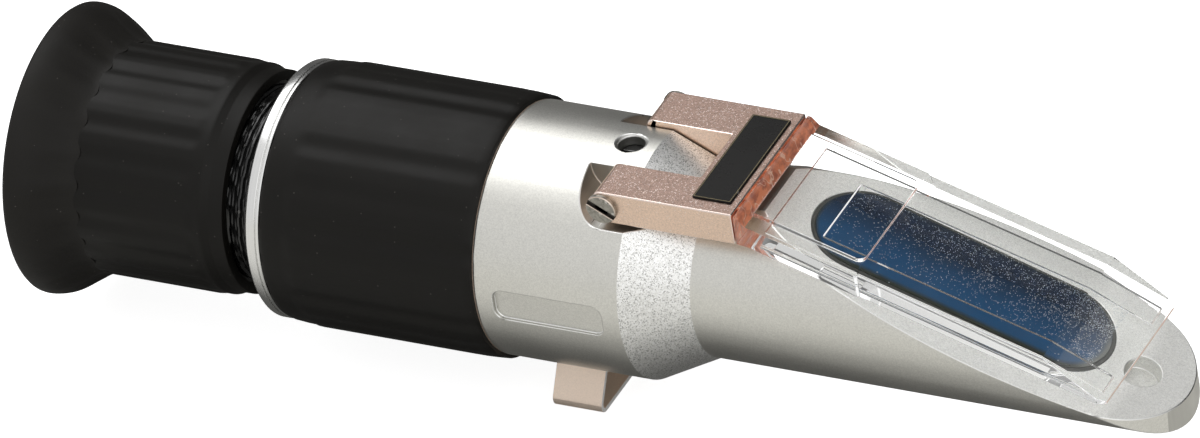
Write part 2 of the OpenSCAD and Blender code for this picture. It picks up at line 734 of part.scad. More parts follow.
module plate_adhesive() color([0.72, 0.4, 0.3]) on_axis()
    translate([frame_front_x, film_side_inset - plate_w / 2, frame_bottom_z + film_edge_inset])
        cube([film_t, plate_w - 2 * film_side_inset, frame_t - 2 * film_edge_inset]);

// The plate from the side, from its upright flange to its thin front edge
module plate_view()
    polygon([
        [plate_rear_x, frame_bottom_z + flange_foot], [plate_rear_x, frame_top_z - flange_head],
        [plate_rear_x + flange_t / 3, frame_top_z - flange_crown],
        [flange_front_x, plate_top(flange_front_x)], [bevel_x, plate_top(bevel_x)],
        [plate_end_x, plate_edge_z], [plate_end_x, plate_under(plate_end_x)],
        [flange_front_x, plate_under(flange_front_x)]
    ]);

// Everything below the plate's sheet, between the flange's rim and the front one
module plate_hollow_view()
    polygon([
        [hollow_rear_x, plate_under(hollow_rear_x) + pad_t],
        [hollow_front_x, plate_under(hollow_front_x) + pad_t],
        [hollow_front_x, plate_under(plate_end_x) - pad_t], [hollow_rear_x, plate_under(plate_end_x) - pad_t]
    ]);

module plate_plan() {
    half_rear = plate_w / 2;
    half_front = plate_w / 2 - plate_step;
    half_end = plate_end_w / 2;
    corner_x = plate_end_x - plate_corner_len;
    polygon([
        [plate_rear_x - cut, -half_rear], [tab_end_x, -half_rear], [tab_end_x + plate_step, -half_front],
        [corner_x, -half_front], [plate_end_x, -half_end], [plate_end_x, half_end], [corner_x, half_front],
        [tab_end_x + plate_step, half_front], [tab_end_x, half_rear], [plate_rear_x - cut, half_rear]
    ]);
}

module mounting_tab()
    translate([flange_front_x, 0, plate_top(flange_front_x)]) rotate([0, plate_angle, 0])
        translate([0, 0, -tab_t]) linear_extrude(height = 2 * tab_t) {
            tab_len = (tab_end_x - flange_front_x) / cos(plate_angle);
            corner_y = tab_w / 2 - tab_corner_r;
            translate([0, -tab_w / 2]) square([tab_len - tab_corner_r, tab_w]);
            translate([0, -corner_y]) square([tab_len, 2 * corner_y]);
            for (side = [-1, 1])
                translate([tab_len - tab_corner_r, side * corner_y]) circle(r = tab_corner_r);
        }

// The underside is hollowed between the rims, apart from the pad that lies over the prism
module cover_plate() color([0.9, 0.93, 0.95, 0.35]) on_axis() {
    difference() {
        intersection() {
            side_slab(-plate_w / 2, plate_w / 2) plate_view();
            translate([0, 0, -barrel_r]) linear_extrude(height = 3 * barrel_r) plate_plan();
        }
        difference() {
            side_slab(rim_w - plate_end_w / 2, plate_end_w / 2 - rim_w) plate_hollow_view();
            translate([pad_x, -pad_w / 2, -barrel_r]) cube([plate_end_x, pad_w, 3 * barrel_r]);
        }
    }
    mounting_tab();
}

module hinge_screws() color([0.7, 0.68, 0.64]) on_axis() difference() {
    union() {
        hinge_rod(pocket_floor_y - hinge_thread_len + running, frame_w / 2 + 2 * running, hinge_screw_r);
        hinge_rod(frame_w / 2 + running, frame_w / 2 + running + hinge_head_h, hinge_head_r);
    }
    for (side = [-1, 1])
        translate([-hinge_back, side * (frame_w / 2 + running + hinge_head_h), hinge_z])
            rotate([0, hinge_slot_angle, 0])
                cube([2 * (hinge_head_r + cut), 2 * hinge_slot_depth, hinge_slot_w], center = true);
}

// One strip of sheet metal: a floor, two rounded bends and two walls that lean inward
module foot_bracket() color([0.82, 0.7, 0.64]) on_axis() foot_sheet(0);

body_housing();
prism();
prism_seal();
light_baffle();
objective_carrier();
objective_lens();
carrier_spring();
calibration_screw();
bimetal_strip();
bimetal_screw();
reticle_cell();
reticle();
reticle_retainer();
rubber_grip();
grip_collar();
ocular_socket();
travel_stop_ring();
eyepiece_barrel();
focus_sleeve();
eyecup();
eye_lens();
lens_spacer();
field_lens();
lens_retainer();
lid_frame();
lid_label();
plate_adhesive();
cover_plate();
hinge_screws();
foot_bracket();
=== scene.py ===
"""A hand-held coolant refractometer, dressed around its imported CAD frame."""

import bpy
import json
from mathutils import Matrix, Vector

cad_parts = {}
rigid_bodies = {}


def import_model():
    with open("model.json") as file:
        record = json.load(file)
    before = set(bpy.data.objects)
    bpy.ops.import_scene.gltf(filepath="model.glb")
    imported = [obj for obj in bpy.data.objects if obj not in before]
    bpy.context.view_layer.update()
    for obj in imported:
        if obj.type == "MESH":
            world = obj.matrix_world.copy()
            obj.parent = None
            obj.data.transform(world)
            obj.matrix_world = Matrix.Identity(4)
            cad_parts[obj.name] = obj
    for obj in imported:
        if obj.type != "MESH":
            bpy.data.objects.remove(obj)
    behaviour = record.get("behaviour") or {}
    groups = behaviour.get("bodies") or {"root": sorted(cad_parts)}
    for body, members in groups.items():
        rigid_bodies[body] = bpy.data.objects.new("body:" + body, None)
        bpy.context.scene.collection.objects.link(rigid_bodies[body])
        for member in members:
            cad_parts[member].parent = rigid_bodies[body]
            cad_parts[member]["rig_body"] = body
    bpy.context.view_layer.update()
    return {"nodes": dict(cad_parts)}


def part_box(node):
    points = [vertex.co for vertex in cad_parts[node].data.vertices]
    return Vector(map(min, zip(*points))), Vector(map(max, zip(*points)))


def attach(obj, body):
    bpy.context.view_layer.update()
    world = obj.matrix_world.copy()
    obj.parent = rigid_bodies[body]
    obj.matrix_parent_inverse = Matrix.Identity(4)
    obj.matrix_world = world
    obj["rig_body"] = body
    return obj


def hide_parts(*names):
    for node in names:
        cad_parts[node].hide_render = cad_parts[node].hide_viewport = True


bl_info = {
    "name": "Coolant refractometer",
    "version": (1, 0, 0),
    "blender": (4, 5, 0),
    "location": "View3D > Sidebar > Refractometer",
    "description": "Builds a hand-held refractometer with a clear cover plate over a blue prism",
    "category": "Object",
}

import json
import math
from functools import partial

import bmesh
import bpy
from bpy.props import FloatProperty, FloatVectorProperty, IntProperty, PointerProperty
from mathutils import Matrix, Vector, noise

MM = 0.001

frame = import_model()
nodes = frame["nodes"]


def half(node, axis):
    """Half of a CAD node's extent along one axis."""
    low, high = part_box(node)
    return (high[axis] - low[axis]) / 2


def ends(node):
    """Rear and front station of a CAD node along the optical axis."""
    low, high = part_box(node)
    return low.x, high.x


SLEEVE_REAR, SLEEVE_FRONT = ends("focus_sleeve")
PLATE_REAR, PLATE_FRONT = ends("cover_plate")
PRISM_REAR, PRISM_FRONT = ends("prism")
AXIS_Z = sum(corner.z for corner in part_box("grip_collar")) / 2

# Measures of the housing, whose stations count from the cone's rear end at CONE_X
NOSE_LEN = 72.3 * MM
CONE_X = ends("body_housing")[1] - NOSE_LEN
CONE_LEN = 8.4 * MM
POCKETS_END = 40 * MM
SLANT_START = 48.35 * MM
FLATS_START = NOSE_LEN - 15 * MM
TIP_START = 60 * MM
FRONT_R = 12.55 * MM
BORE_R = 14.5 * MM
SLANT_NORMAL = Vector((math.sin(math.radians(20)), 0, math.cos(math.radians(20))))

# The clear pad under the cover plate
PAD_REAR = CONE_X + 25.4 * MM
PAD_FRONT = CONE_X + 61.5 * MM
PAD_HALF_Y = 5.7 * MM

# Bores and seats, as radii
GRIP_SEAT = 15.62 * MM
COLLAR_BORE = 14.02 * MM
SLEEVE_BORE = 13.52 * MM
BARREL_SEAT = 13.5 * MM
EYE_BORE = 11.4 * MM

# Camera and light
CAMERA_PLACE = (1.11206, -1.83654, 1.54986)
CAMERA_RIGHT = (0.893495, 0.428596, -0.134060)
CAMERA_UP = (-0.154774, 0.574139, 0.803996)
CAMERA_BACK = (0.421559, -0.697617, 0.579326)
FLOOR_SIZE = 3.0
FLOOR_GAP = 0.1 * MM
LAMP_DIRECTION = Vector((-0.42, 0.25, 0.87)).normalized()
LAMP_DISTANCE = 0.8
LAMP_SIZE = 0.66
FRONT_LIGHT = (0.48, -0.67, 0.57)

# How copies of CAD meshes are welded, flattened and rounded
SPARE_SLOTS = 8
WELD = 0.002 * MM
FLAT_ANGLE = math.radians(0.3)
SHARP_ANGLE = math.radians(12)
BEVEL_ANGLE = math.radians(30)

DARK_DUST = (0.12, 0.11, 0.1, 1)
WHITE = (1, 1, 1, 1)
COLOUR = {"subtype": "COLOR", "min": 0, "max": 1}
LENGTH = {"unit": "LENGTH", "min": 0}


# Shader graphs

class Graph:
    """Places nodes in a node tree and wires them by name."""

    def __init__(self, tree):
        self.tree = tree

    def feed(self, socket, value):
        if isinstance(value, bpy.types.NodeSocket):
            self.tree.links.new(value, socket)
        else:
            socket.default_value = value

    def wire(self, node, inputs):
        """Feeds each of a node's inputs with a value or with another node's output."""
        for key, value in inputs.items():
            self.feed(node.inputs[key], value)

    def add(self, kind, inputs=None, **settings):
        node = self.tree.nodes.new(kind)
        for key, value in settings.items():
            setattr(node, key, value)
        self.wire(node, inputs or {})
        return node

    def out(self, kind, output, inputs=None, **settings):
        """One output of a new node."""
        return self.add(kind, inputs, **settings).outputs[output]

    def group(self, tree, inputs):
        return self.add("ShaderNodeGroup", inputs, node_tree=tree).outputs

    def math(self, operation, a, b=0.0):
        return self.out("ShaderNodeMath", 0, {0: a, 1: b}, operation=operation)

    def times(self, a, b):
        return self.math("MULTIPLY", a, b)

    def plus(self, a, b):
        return self.math("ADD", a, b)

    def minus(self, a, b):
        return self.math("SUBTRACT", a, b)

    def above(self, a, b):
        return self.math("GREATER_THAN", a, b)

    def below(self, a, b):
        return self.math("LESS_THAN", a, b)

    def mix(self, factor, a, b):
        return self.out("ShaderNodeMix", 0, {0: factor, 2: a, 3: b})

    def tint(self, factor, a, b):
        return self.out("ShaderNodeMix", 2, {0: factor, 6: a, 7: b}, data_type="RGBA")

    def spread(self, value, low, high, out_low=0.0, out_high=1.0):
        """Remaps a value from one range to another, held at the ends."""
        return self.out("ShaderNodeMapRange", "Result", {
            "Value": value, "From Min": low, "From Max": high, "To Min": out_low, "To Max": out_high,
        })

    def place(self):
        """Where a point lies on the piece, in metres."""
        return self.out("ShaderNodeTexCoord", "Object")

    def noise(self, vector, scale, detail=2.0, rough=0.5):
        return self.out("ShaderNodeTexNoise", "Fac", {
            "Vector": vector, "Scale": scale, "Detail": detail, "Roughness": rough,
        })

    def cells(self, vector, scale):
        return self.add("ShaderNodeTexVoronoi", {"Vector": vector, "Scale": scale}).outputs

    def axis(self, name):
        return self.parts(self.place())[name]

    def parts(self, vector):
        return self.add("ShaderNodeSeparateXYZ", {"Vector": vector}).outputs

    def bump(self, height, relief):
        """A bump whose relief is in millimetres."""
        return self.out("ShaderNodeBump", "Normal", {"Height": height, "Distance": relief * MM})

    def scaled(self, vector, scale):
        """A place or a colour, multiplied along each axis by its own factor."""
        return self.out("ShaderNodeVectorMath", 0, {0: vector, 1: scale}, operation="MULTIPLY")

    def wear(self, smudge_scale, speck_scale, specks):
        """Handling marks, with the share of the surface's cells that carry a speck."""
        return self.group(WEAR, {
            "Smudge Scale": smudge_scale, "Speck Scale": speck_scale, "Specks": specks,
        })

    def smudged(self, wear, low, high):
        """A roughness that the smudges carry from low to high."""
        return self.spread(wear["Smudge"], 0.3, 0.7, low, high)


def colour(value):
    return (value[0], value[1], value[2], 1.0)


def shaded(value, factor):
    """A colour made darker or lighter."""
    return colour([min(1.0, part * factor) for part in value])


def principled(name, inputs):
    """A material with one Principled BSDF, whose constant values sit on its own sockets."""
    material = bpy.data.materials.new(name)
    material.use_nodes = True
    material.node_tree.nodes.clear()
    graph = Graph(material.node_tree)
    shader = graph.add("ShaderNodeBsdfPrincipled", inputs)
    output = graph.add("ShaderNodeOutputMaterial")
    graph.tree.links.new(shader.outputs["BSDF"], output.inputs["Surface"])
    return material, graph, shader


def shader_group(name, inputs, outputs):
    """An empty group with named sockets. Returns its graph, its given values and its outputs."""
    tree = bpy.data.node_groups.new(name, "ShaderNodeTree")
    for label, value in inputs.items():
        kind = "NodeSocketColor" if value == WHITE else "NodeSocketFloat"
        tree.interface.new_socket(label, in_out="INPUT", socket_type=kind).default_value = value
    for label, kind in outputs.items():
        tree.interface.new_socket(label, in_out="OUTPUT", socket_type="NodeSocket" + kind)
    source = tree.nodes.new("NodeGroupInput")
    target = tree.nodes.new("NodeGroupOutput")
    return Graph(tree), source.outputs, target.inputs


def grain_group():
    """Blasted metal: grains of differing brightness, with a share of flecks in another colour among them.
    Pale flecks are painted glints, a painted highlight of the blast's sparkle; dark flecks are grain.
    """
    graph, given, out = shader_group(
        "blasted_grain",
        {"Base Colour": WHITE, "Glint Colour": WHITE, "Scale": 5000, "Contrast": 0.1, "Glints": 0.1},
        {"Colour": "Color", "Height": "Float"})
    place = graph.place()
    cells = graph.cells(place, given["Scale"])
    random = graph.parts(cells["Color"])
    coarse = graph.noise(place, graph.times(given["Scale"], 0.37), 3.0, 0.7)
    level = graph.plus(random[0], graph.times(coarse, 1.4))
    shade = graph.times(graph.minus(level, 1.2), given["Contrast"])
    factor = graph.plus(shade, 1.0)
    scale = graph.out("ShaderNodeCombineXYZ", 0, {0: factor, 1: factor, 2: factor})
    grains = graph.scaled(given["Base Colour"], scale)
    # Flecks: a painted glint where their colour is paler than the metal, a dark grain where it is darker
    glint = graph.above(random[1], graph.minus(1.0, given["Glints"]))
    graph.feed(out["Colour"], graph.tint(glint, grains, given["Glint Colour"]))
    graph.feed(out["Height"], graph.plus(random[2], coarse))
    return graph.tree


def wear_group():
    """Handling marks: soft smudges and sparse specks of dust."""
    graph, given, out = shader_group(
        "wear",
        {"Smudge Scale": 120, "Speck Scale": 900, "Specks": 0.05}, {"Smudge": "Float", "Speck": "Float"})
    place = graph.place()
    graph.feed(out["Smudge"], graph.noise(place, given["Smudge Scale"], 4.0, 0.6))
    cells = graph.cells(place, given["Speck Scale"])
    there = graph.below(graph.parts(cells["Color"])[0], given["Specks"])
    near = graph.below(cells["Distance"], 0.28)
    graph.feed(out["Speck"], graph.times(there, near))
    return graph.tree


def turning_group():
    """Fine lines left by a lathe, which run round the optical axis."""
    graph, given, out = shader_group("turning_lines", {"Pitch Scale": 4000}, {"Line": "Float"})
    scale = graph.out("ShaderNodeCombineXYZ", 0, {0: given["Pitch Scale"], 1: 6.0, 2: 6.0})
    lines = graph.scaled(graph.place(), scale)
    graph.feed(out["Line"], graph.noise(lines, 1.0, 3.0, 0.7))
    return graph.tree


GRAIN = grain_group()
WEAR = wear_group()
TURNING = turning_group()


def blasted_metal(name, base, rough, scale, contrast, glints, relief, glint=(0.95, 0.95, 0.94),
                  metallic=1.0):
    """Bead-blasted or sandblasted metal. A deep blast scatters light as paint does."""
    material, graph, shader = principled(name, {"Metallic": metallic})
    grain = graph.group(GRAIN, {
        "Base Colour": colour(base), "Glint Colour": colour(glint), "Scale": scale, "Contrast": contrast,
        "Glints": glints,
    })
    wear = graph.wear(90.0, 500.0, 0.004)
    smudge = graph.spread(wear["Smudge"], 0.45, 0.75, 0.0, 0.12)
    worn = graph.tint(smudge, grain["Colour"], shaded(base, 0.8))
    graph.wire(shader, {
        "Base Color": graph.tint(wear["Speck"], worn, (0.05, 0.045, 0.04, 1)),
        "Roughness": graph.smudged(wear, rough - 0.03, rough + 0.04),
        "Normal": graph.bump(grain["Height"], relief),
    })
    return material


def turned_metal(name, base, rough, pitch=5000.0):
    """Bright metal with the lathe's lines on it."""
    material, graph, shader = principled(name, {"Metallic": 1.0})
    line = graph.group(TURNING, {"Pitch Scale": pitch})["Line"]
    wear = graph.wear(300.0, 1800.0, 0.006)
    shade = graph.tint(graph.spread(line, 0.3, 0.7, 0.0, 0.35), colour(base), shaded(base, 0.72))
    graph.wire(shader, {
        "Base Color": graph.tint(wear["Speck"], shade, DARK_DUST),
        "Roughness": graph.smudged(wear, rough - 0.05, rough + 0.08),
        "Normal": graph.bump(line, 0.0015),
    })
    return material


def moulded(name, base, specular, wear_scales, smudges, dust, rough, grain, relief):
    """Rubber, plastic or paint, which is paler where it is smudged."""
    material, graph, shader = principled(name, {"Specular IOR Level": specular})
    wear = graph.wear(*wear_scales)
    shade = graph.tint(graph.spread(wear["Smudge"], *smudges), colour(base), shaded(base, 1.6))
    graph.wire(shader, {
        "Base Color": graph.tint(graph.times(wear["Speck"], dust[0]), shade, dust[1]),
        "Roughness": graph.smudged(wear, *rough),
        "Normal": graph.bump(graph.noise(graph.place(), *grain), relief),
    })
    return material


def rubber(name, base, rough, grain, specular, relief=0.01):
    """Moulded rubber with a fine grain and a little dust."""
    return moulded(name, base, specular, (160.0, 2600.0, 0.012), (0.35, 0.75, 0.0, 0.5), (0.35, DARK_DUST),
                   (rough - 0.04, rough + 0.05), (grain, 2.0, 0.6), relief)


def plastic(name, base, rough, specular=0.5, relief=0.004):
    """Smooth plastic or paint with smudges on it."""
    return moulded(name, base, specular, (220.0, 1200.0, 0.02), (0.4, 0.8, 0.0, 0.6),
                   (0.3, (0.35, 0.34, 0.32, 1)), (rough - 0.04, rough + 0.08), (2500.0,), relief)


def lens_glass(name, base, ior):
    """Coated lens glass with a faint haze of smudges."""
    material, graph, shader = principled(name, {
        "Base Color": colour(base), "Transmission Weight": 1.0, "IOR": ior,
    })
    wear = graph.wear(260.0, 900.0, 0.01)
    graph.wire(shader, {"Roughness": graph.spread(wear["Smudge"], 0.5, 0.8, 0.0, 0.05)})
    return material


def acrylic(name, base):
    """Clear acrylic. Rays that stay caught inside it meet a painted glow: the acrylic emits white light
    for them, as pale as the room is.
    """
    material, graph, shader = principled(name, {
        "Base Color": colour(base), "Transmission Weight": 1.0, "IOR": 1.49, "Emission Color": WHITE,
    })
    rays = graph.add("ShaderNodeLightPath").outputs
    caught = graph.math(
        "MAXIMUM", graph.above(rays["Glossy Depth"], 3.5), graph.above(rays["Ray Depth"], 11.5))
    wear = graph.wear(150.0, 700.0, 0.01)
    graph.wire(shader, {
        # Painted glow: caught rays see the acrylic emit white light
        "Emission Strength": graph.times(caught, 0.5),
        "Alpha": graph.minus(1.0, graph.times(rays["Is Shadow Ray"], 0.85)),
        "Roughness": graph.spread(wear["Smudge"], 0.55, 0.85, 0.0, 0.06),
    })
    return material


def copper_film(name, base):
    """Wrinkled copper-coloured film, paler along its creases, where a painted highlight stands for the
    light that the folds catch, and darker in random patches.
    """
    material, graph, shader = principled(name, {})
    streaks = graph.noise(graph.scaled(graph.place(), (900.0, 900.0, 260.0)), 1.0, 4.0, 0.7)
    folds = graph.noise(graph.scaled(graph.place(), (300.0, 420.0, 180.0)), 1.0, 2.0, 0.6)
    crease = graph.spread(graph.math("ABSOLUTE", graph.minus(folds, 0.5)), 0.0, 0.016, 1.0, 0.0)
    patches = graph.spread(graph.noise(graph.place(), 620.0, 3.0), 0.42, 0.62)
    deep = graph.tint(patches, colour(base), (base[0] * 0.5, base[1] * 0.36, base[2] * 0.32, 1))
    graph.wire(shader, {
        # The pale crease colour is a painted highlight along the folds
        "Base Color": graph.tint(crease, deep, (0.98, 0.66, 0.5, 1)),
        "Roughness": graph.spread(streaks, 0.3, 0.7, 0.28, 0.5),
        "Normal": graph.bump(streaks, 0.03),
    })
    return material


# Mesh building

def piece(name, data):
    """An object in the scene, from its mesh, camera or light."""
    obj = bpy.data.objects.new(name, data)
    bpy.context.scene.collection.objects.link(obj)
    return obj


def mesh_from(name, bm):
    """A mesh from faces that are turned to face outwards."""
    bmesh.ops.recalc_face_normals(bm, faces=bm.faces)
    mesh = bpy.data.meshes.new(name)
    bm.to_mesh(mesh)
    bm.free()
    return mesh


def formed(name, bm, angle=35.0):
    """A smooth piece, whose edges stay sharp from an angle on."""
    mesh = mesh_from(name, bm)
    for polygon in mesh.polygons:
        polygon.use_smooth = True
    mesh.set_sharp_from_angle(angle=math.radians(angle))
    return piece(name, mesh)


def paint(obj, materials):
    """Gives an object its materials and keeps which face wears which."""
    worn = [polygon.material_index for polygon in obj.data.polygons]
    obj.data.materials.clear()
    for material in materials:
        obj.data.materials.append(material)
    for polygon, index in zip(obj.data.polygons, worn):
        polygon.material_index = index


def stand_for(obj, node, materials):
    """Gives a piece its materials and body, and lets it stand for a CAD node."""
    paint(obj, materials)
    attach(obj, nodes[node]["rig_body"])
    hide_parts(node)


def add_to(obj, node, materials):
    """Gives a piece its materials, and lets it go with a CAD node."""
    paint(obj, materials)
    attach(obj, nodes[node]["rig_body"])


def softened_copy(name, node, width, materials, choose=None, edge_slot=-1, merged=True):
    """A copy that stands for a CAD node, with rounded edges. choose gives each face its finish."""
    mesh = nodes[node].data.copy()
    mesh.materials.clear()
    for slot in range(SPARE_SLOTS):
        mesh.materials.append(None)
    obj = piece(name, mesh)
    bm = bmesh.new()
    bm.from_mesh(mesh)
    bmesh.ops.remove_doubles(bm, verts=bm.verts, dist=WELD)
    if merged:
        bmesh.ops.dissolve_limit(bm, angle_limit=FLAT_ANGLE, verts=bm.verts, edges=bm.edges)
    bm.normal_update()
    for face in bm.faces:
        face.smooth = True
        face.material_index = choose(face.calc_center_median(), face.normal) if choose else 0
    for edge in bm.edges:
        edge.smooth = edge.calc_face_angle(0) < SHARP_ANGLE
    bm.to_mesh(mesh)
    bm.free()
    edges = obj.modifiers.new("Rounded edges", "BEVEL")
    edges.width = width
    edges.segments = 2
    edges.limit_method = "ANGLE"
    edges.angle_limit = BEVEL_ANGLE
    edges.use_clamp_overlap = False
    edges.miter_outer = "MITER_ARC"
    edges.material = edge_slot
    obj.modifiers.new("Even shading", "WEIGHTED_NORMAL").keep_sharp = True
    bpy.context.view_layer.update()
    evaluated = obj.evaluated_get(bpy.context.evaluated_depsgraph_get())
    rounded = bpy.data.meshes.new_from_object(evaluated)
    obj.modifiers.clear()
    obj.data = rounded
    stand_for(obj, node, materials)


def bridge(bm, one, two):
    """Faces between two outlines of equally many points."""
    for i in range(len(one)):
        j = (i + 1) % len(one)
        bm.faces.new((one[i], one[j], two[j], two[i]))


def bridge_round(bm, outlines):
    """Joins each outline to the next, and the last to the first."""
    for one, two in zip(outlines, outlines[1:] + outlines[:1]):
        bridge(bm, one, two)


def turned(name, rings, segments=240):
    """A closed shape swept round the optical axis. Each ring is a function that gives its station and
    radius at an angle, which is counted from the top towards the near side."""
    bm = bmesh.new()
    loops = []
    for ring in rings:
        loop = []
        for i in range(segments):
            angle = math.tau * i / segments
            x, r = ring(angle)
            loop.append(bm.verts.new((x, -r * math.sin(angle), AXIS_Z + r * math.cos(angle))))
        loops.append(loop)
    bridge_round(bm, loops)
    return formed(name, bm)


def plain_rings(points):
    """Rings of a round shape, from its stations and radii."""
    return [lambda angle, x=x, r=r: (x, r) for x, r in points]


def shifted(x, r, points):
    """Rings whose stations and radii are given in millimetres from a station and a radius."""
    return plain_rings([(x + along * MM, r + out * MM) for along, out in points])


def smoothstep(value, low, high):
    """0 up to low, 1 from high on, and a soft rise between them."""
    share = min(1.0, max(0.0, (value - low) / (high - low)))
    return share * share * (3 - 2 * share)


def rib(angle, count, first, share, uneven=0.0):
    """Height of a ribbed surface at an angle, from 0 in a valley to 1 on a rib."""
    turn = (angle - first) * count / math.tau
    away = abs(turn - round(turn)) / (share / 2)
    if away >= 1:
        return 1.0
    depth = 0.5 + 0.5 * math.cos(math.pi * away)
    if uneven and round(turn) % 2:
        depth *= 1 - uneven
    return 1 - depth


# What a user would change

class RefractometerView(bpy.types.PropertyGroup):
    """The camera and the light."""
    focal_length: FloatProperty(
        name="Focal length", description="Focal length of the camera in millimetres", default=610.7,
        min=50, max=2000)
    lamp_power: FloatProperty(
        name="Lamp power", description="Power of the lamp above", default=2.5, min=0, unit="POWER")
    room_light: FloatProperty(
        name="Room light", description="Strength of the room's even light", default=0.58, min=0)


class RefractometerMetal(bpy.types.PropertyGroup):
    """The metal finishes."""
    body_colour: FloatVectorProperty(
        name="Body colour", description="Colour of the satin body", default=(0.73, 0.722, 0.68), **COLOUR)
    collar_colour: FloatVectorProperty(
        name="Collar colour", description="Colour of the bright collar", default=(0.86, 0.86, 0.85),
        **COLOUR)
    lid_colour: FloatVectorProperty(
        name="Lid colour", description="Colour of the anodised lid frame", default=(0.43, 0.305, 0.255),
        **COLOUR)
    foot_colour: FloatVectorProperty(
        name="Foot colour", description="Colour of the sheet foot", default=(0.94, 0.78, 0.65), **COLOUR)
    edge_width: FloatProperty(
        name="Edge width", description="Width of the rounded edges of the body", default=0.12 * MM,
        **LENGTH)


class RefractometerRubber(bpy.types.PropertyGroup):
    """The grip, the focus sleeve and the eyecup."""
    grip_ribs: IntProperty(
        name="Grip ribs", description="Number of ribs round the grip", default=20, min=6)
    sleeve_ribs: IntProperty(
        name="Sleeve ribs", description="Number of ribs round the focus sleeve", default=22, min=6)
    grip_rib_height: FloatProperty(
        name="Grip rib height", description="Height of the ribs on the grip", default=0.26 * MM, **LENGTH)
    sleeve_rib_height: FloatProperty(
        name="Sleeve rib height", description="Height of the ribs on the sleeve", default=0.25 * MM,
        **LENGTH)
    black: FloatVectorProperty(
        name="Black", description="Colour of the grip and the sleeve", default=(0.0050, 0.0044, 0.0034),
        **COLOUR)
    cup_colour: FloatVectorProperty(
        name="Eyecup colour", description="Colour of the eyecup", default=(0.0080, 0.0070, 0.0056),
        **COLOUR)


class RefractometerGlass(bpy.types.PropertyGroup):
    """The prism, the cover plate and the film behind it."""
    prism_near: FloatVectorProperty(
        name="Prism, near side", description="Colour of the prism's near side",
        default=(0.010, 0.068, 0.168), **COLOUR)
    # The far side's colour is painted shade
    prism_far_shade: FloatVectorProperty(
        name="Prism, far side", description="Colour of the prism's far side",
        default=(0.006, 0.018, 0.045), **COLOUR)
    film_colour: FloatVectorProperty(
        name="Film colour", description="Colour of the copper film", default=(0.88, 0.28, 0.13), **COLOUR)
    # A painted glow on the plate's front edge, not a colour of the acrylic
    edge_glow_colour: FloatVectorProperty(
        name="Edge colour", description="Colour of the plate's front edge", default=(0.90, 0.66, 0.56),
        **COLOUR)
    speckles: FloatProperty(
        name="Speckles", description="Share of the pad that pale speckles cover", default=0.10,
        min=0, max=1)


# The pieces

def lay_floor():
    """A pale floor, which is white behind the object and keeps its shadow. What metal sees of it is
    painted: painted shade, from how much the object hides the floor, darkens it under the object, and it
    is painted dark behind the object, with a warm tint.
    """
    bm = bmesh.new()
    bmesh.ops.create_grid(bm, x_segments=1, y_segments=1, size=FLOOR_SIZE)
    mesh = bpy.data.meshes.new("floor")
    bm.to_mesh(mesh)
    bm.free()
    floor = piece("floor", mesh)
    floor.location.z = -FLOOR_GAP
    material, graph, shader = principled("pale_floor", {"Roughness": 1.0, "Specular IOR Level": 0.0})
    rays = graph.add("ShaderNodeLightPath").outputs
    mirrored = graph.above(rays["Glossy Depth"], 0.5)
    through = graph.times(rays["Is Transmission Ray"], graph.minus(1.0, mirrored))
    # In reflections the floor shows painted shade, not the light that falls on it
    open_sky = graph.out("ShaderNodeAmbientOcclusion", "AO", {"Distance": 0.06}, samples=8)
    under = graph.spread(open_sky, 0.6, 0.88, 0.08, 0.76)
    behind = graph.spread(graph.axis("Y"), 0.02, 0.05, 1.0, 0.12)
    shown = graph.plus(graph.times(rays["Is Camera Ray"], 0.85), graph.times(through, 1.2))
    graph.wire(shader, {
        "Base Color": graph.tint(mirrored, (0.82, 0.82, 0.82, 1), (0.02, 0.02, 0.02, 1)),
        "Emission Color": graph.tint(mirrored, WHITE, (1, 0.99, 0.94, 1)),
        "Emission Strength": graph.plus(shown, graph.times(mirrored, graph.times(under, behind))),
    })
    floor.data.materials.append(material)


def light_room(scene, strength):
    """An even pale room. Metal sees it brighter in front and darker low down behind the object."""
    world = bpy.data.worlds.new("pale_room")
    scene.world = world
    world.use_nodes = True
    world.node_tree.nodes.clear()
    graph = Graph(world.node_tree)
    rays = graph.add("ShaderNodeLightPath").outputs
    seen = graph.math("MAXIMUM", rays["Is Camera Ray"], rays["Is Transmission Ray"])
    reflected = graph.above(rays["Glossy Depth"], 0.5)
    around = graph.out("ShaderNodeTexCoord", "Generated")

    def near(direction, *limits):
        """A level that rises towards a direction."""
        return graph.spread(graph.out(
            "ShaderNodeVectorMath", "Value", {0: around, 1: direction}, operation="DOT_PRODUCT"), *limits)

    front = near(FRONT_LIGHT, 0.72, 0.98, 0.78, 1.33)
    rear = near(LAMP_DIRECTION, 0.80, 0.98, 0.08, 0.7)
    side = graph.spread(graph.parts(around)["Y"], 0.2, 0.5)
    level = graph.mix(reflected, graph.mix(seen, strength, 1.0), graph.mix(side, front, rear))
    light = graph.add("ShaderNodeBackground", {"Color": WHITE, "Strength": level})
    output = graph.add("ShaderNodeOutputWorld")
    graph.tree.links.new(light.outputs[0], output.inputs["Surface"])


def hang_lamp(power):
    """One large soft lamp, above and a little behind the object."""
    lamp = piece("soft_lamp", bpy.data.lights.new("soft_lamp", "AREA"))
    lamp.data.shape = "SQUARE"
    lamp.data.size = LAMP_SIZE
    lamp.data.energy = power
    lamp.location = LAMP_DIRECTION * LAMP_DISTANCE
    lamp.rotation_euler = (-lamp.location).to_track_quat("-Z", "Y").to_euler()


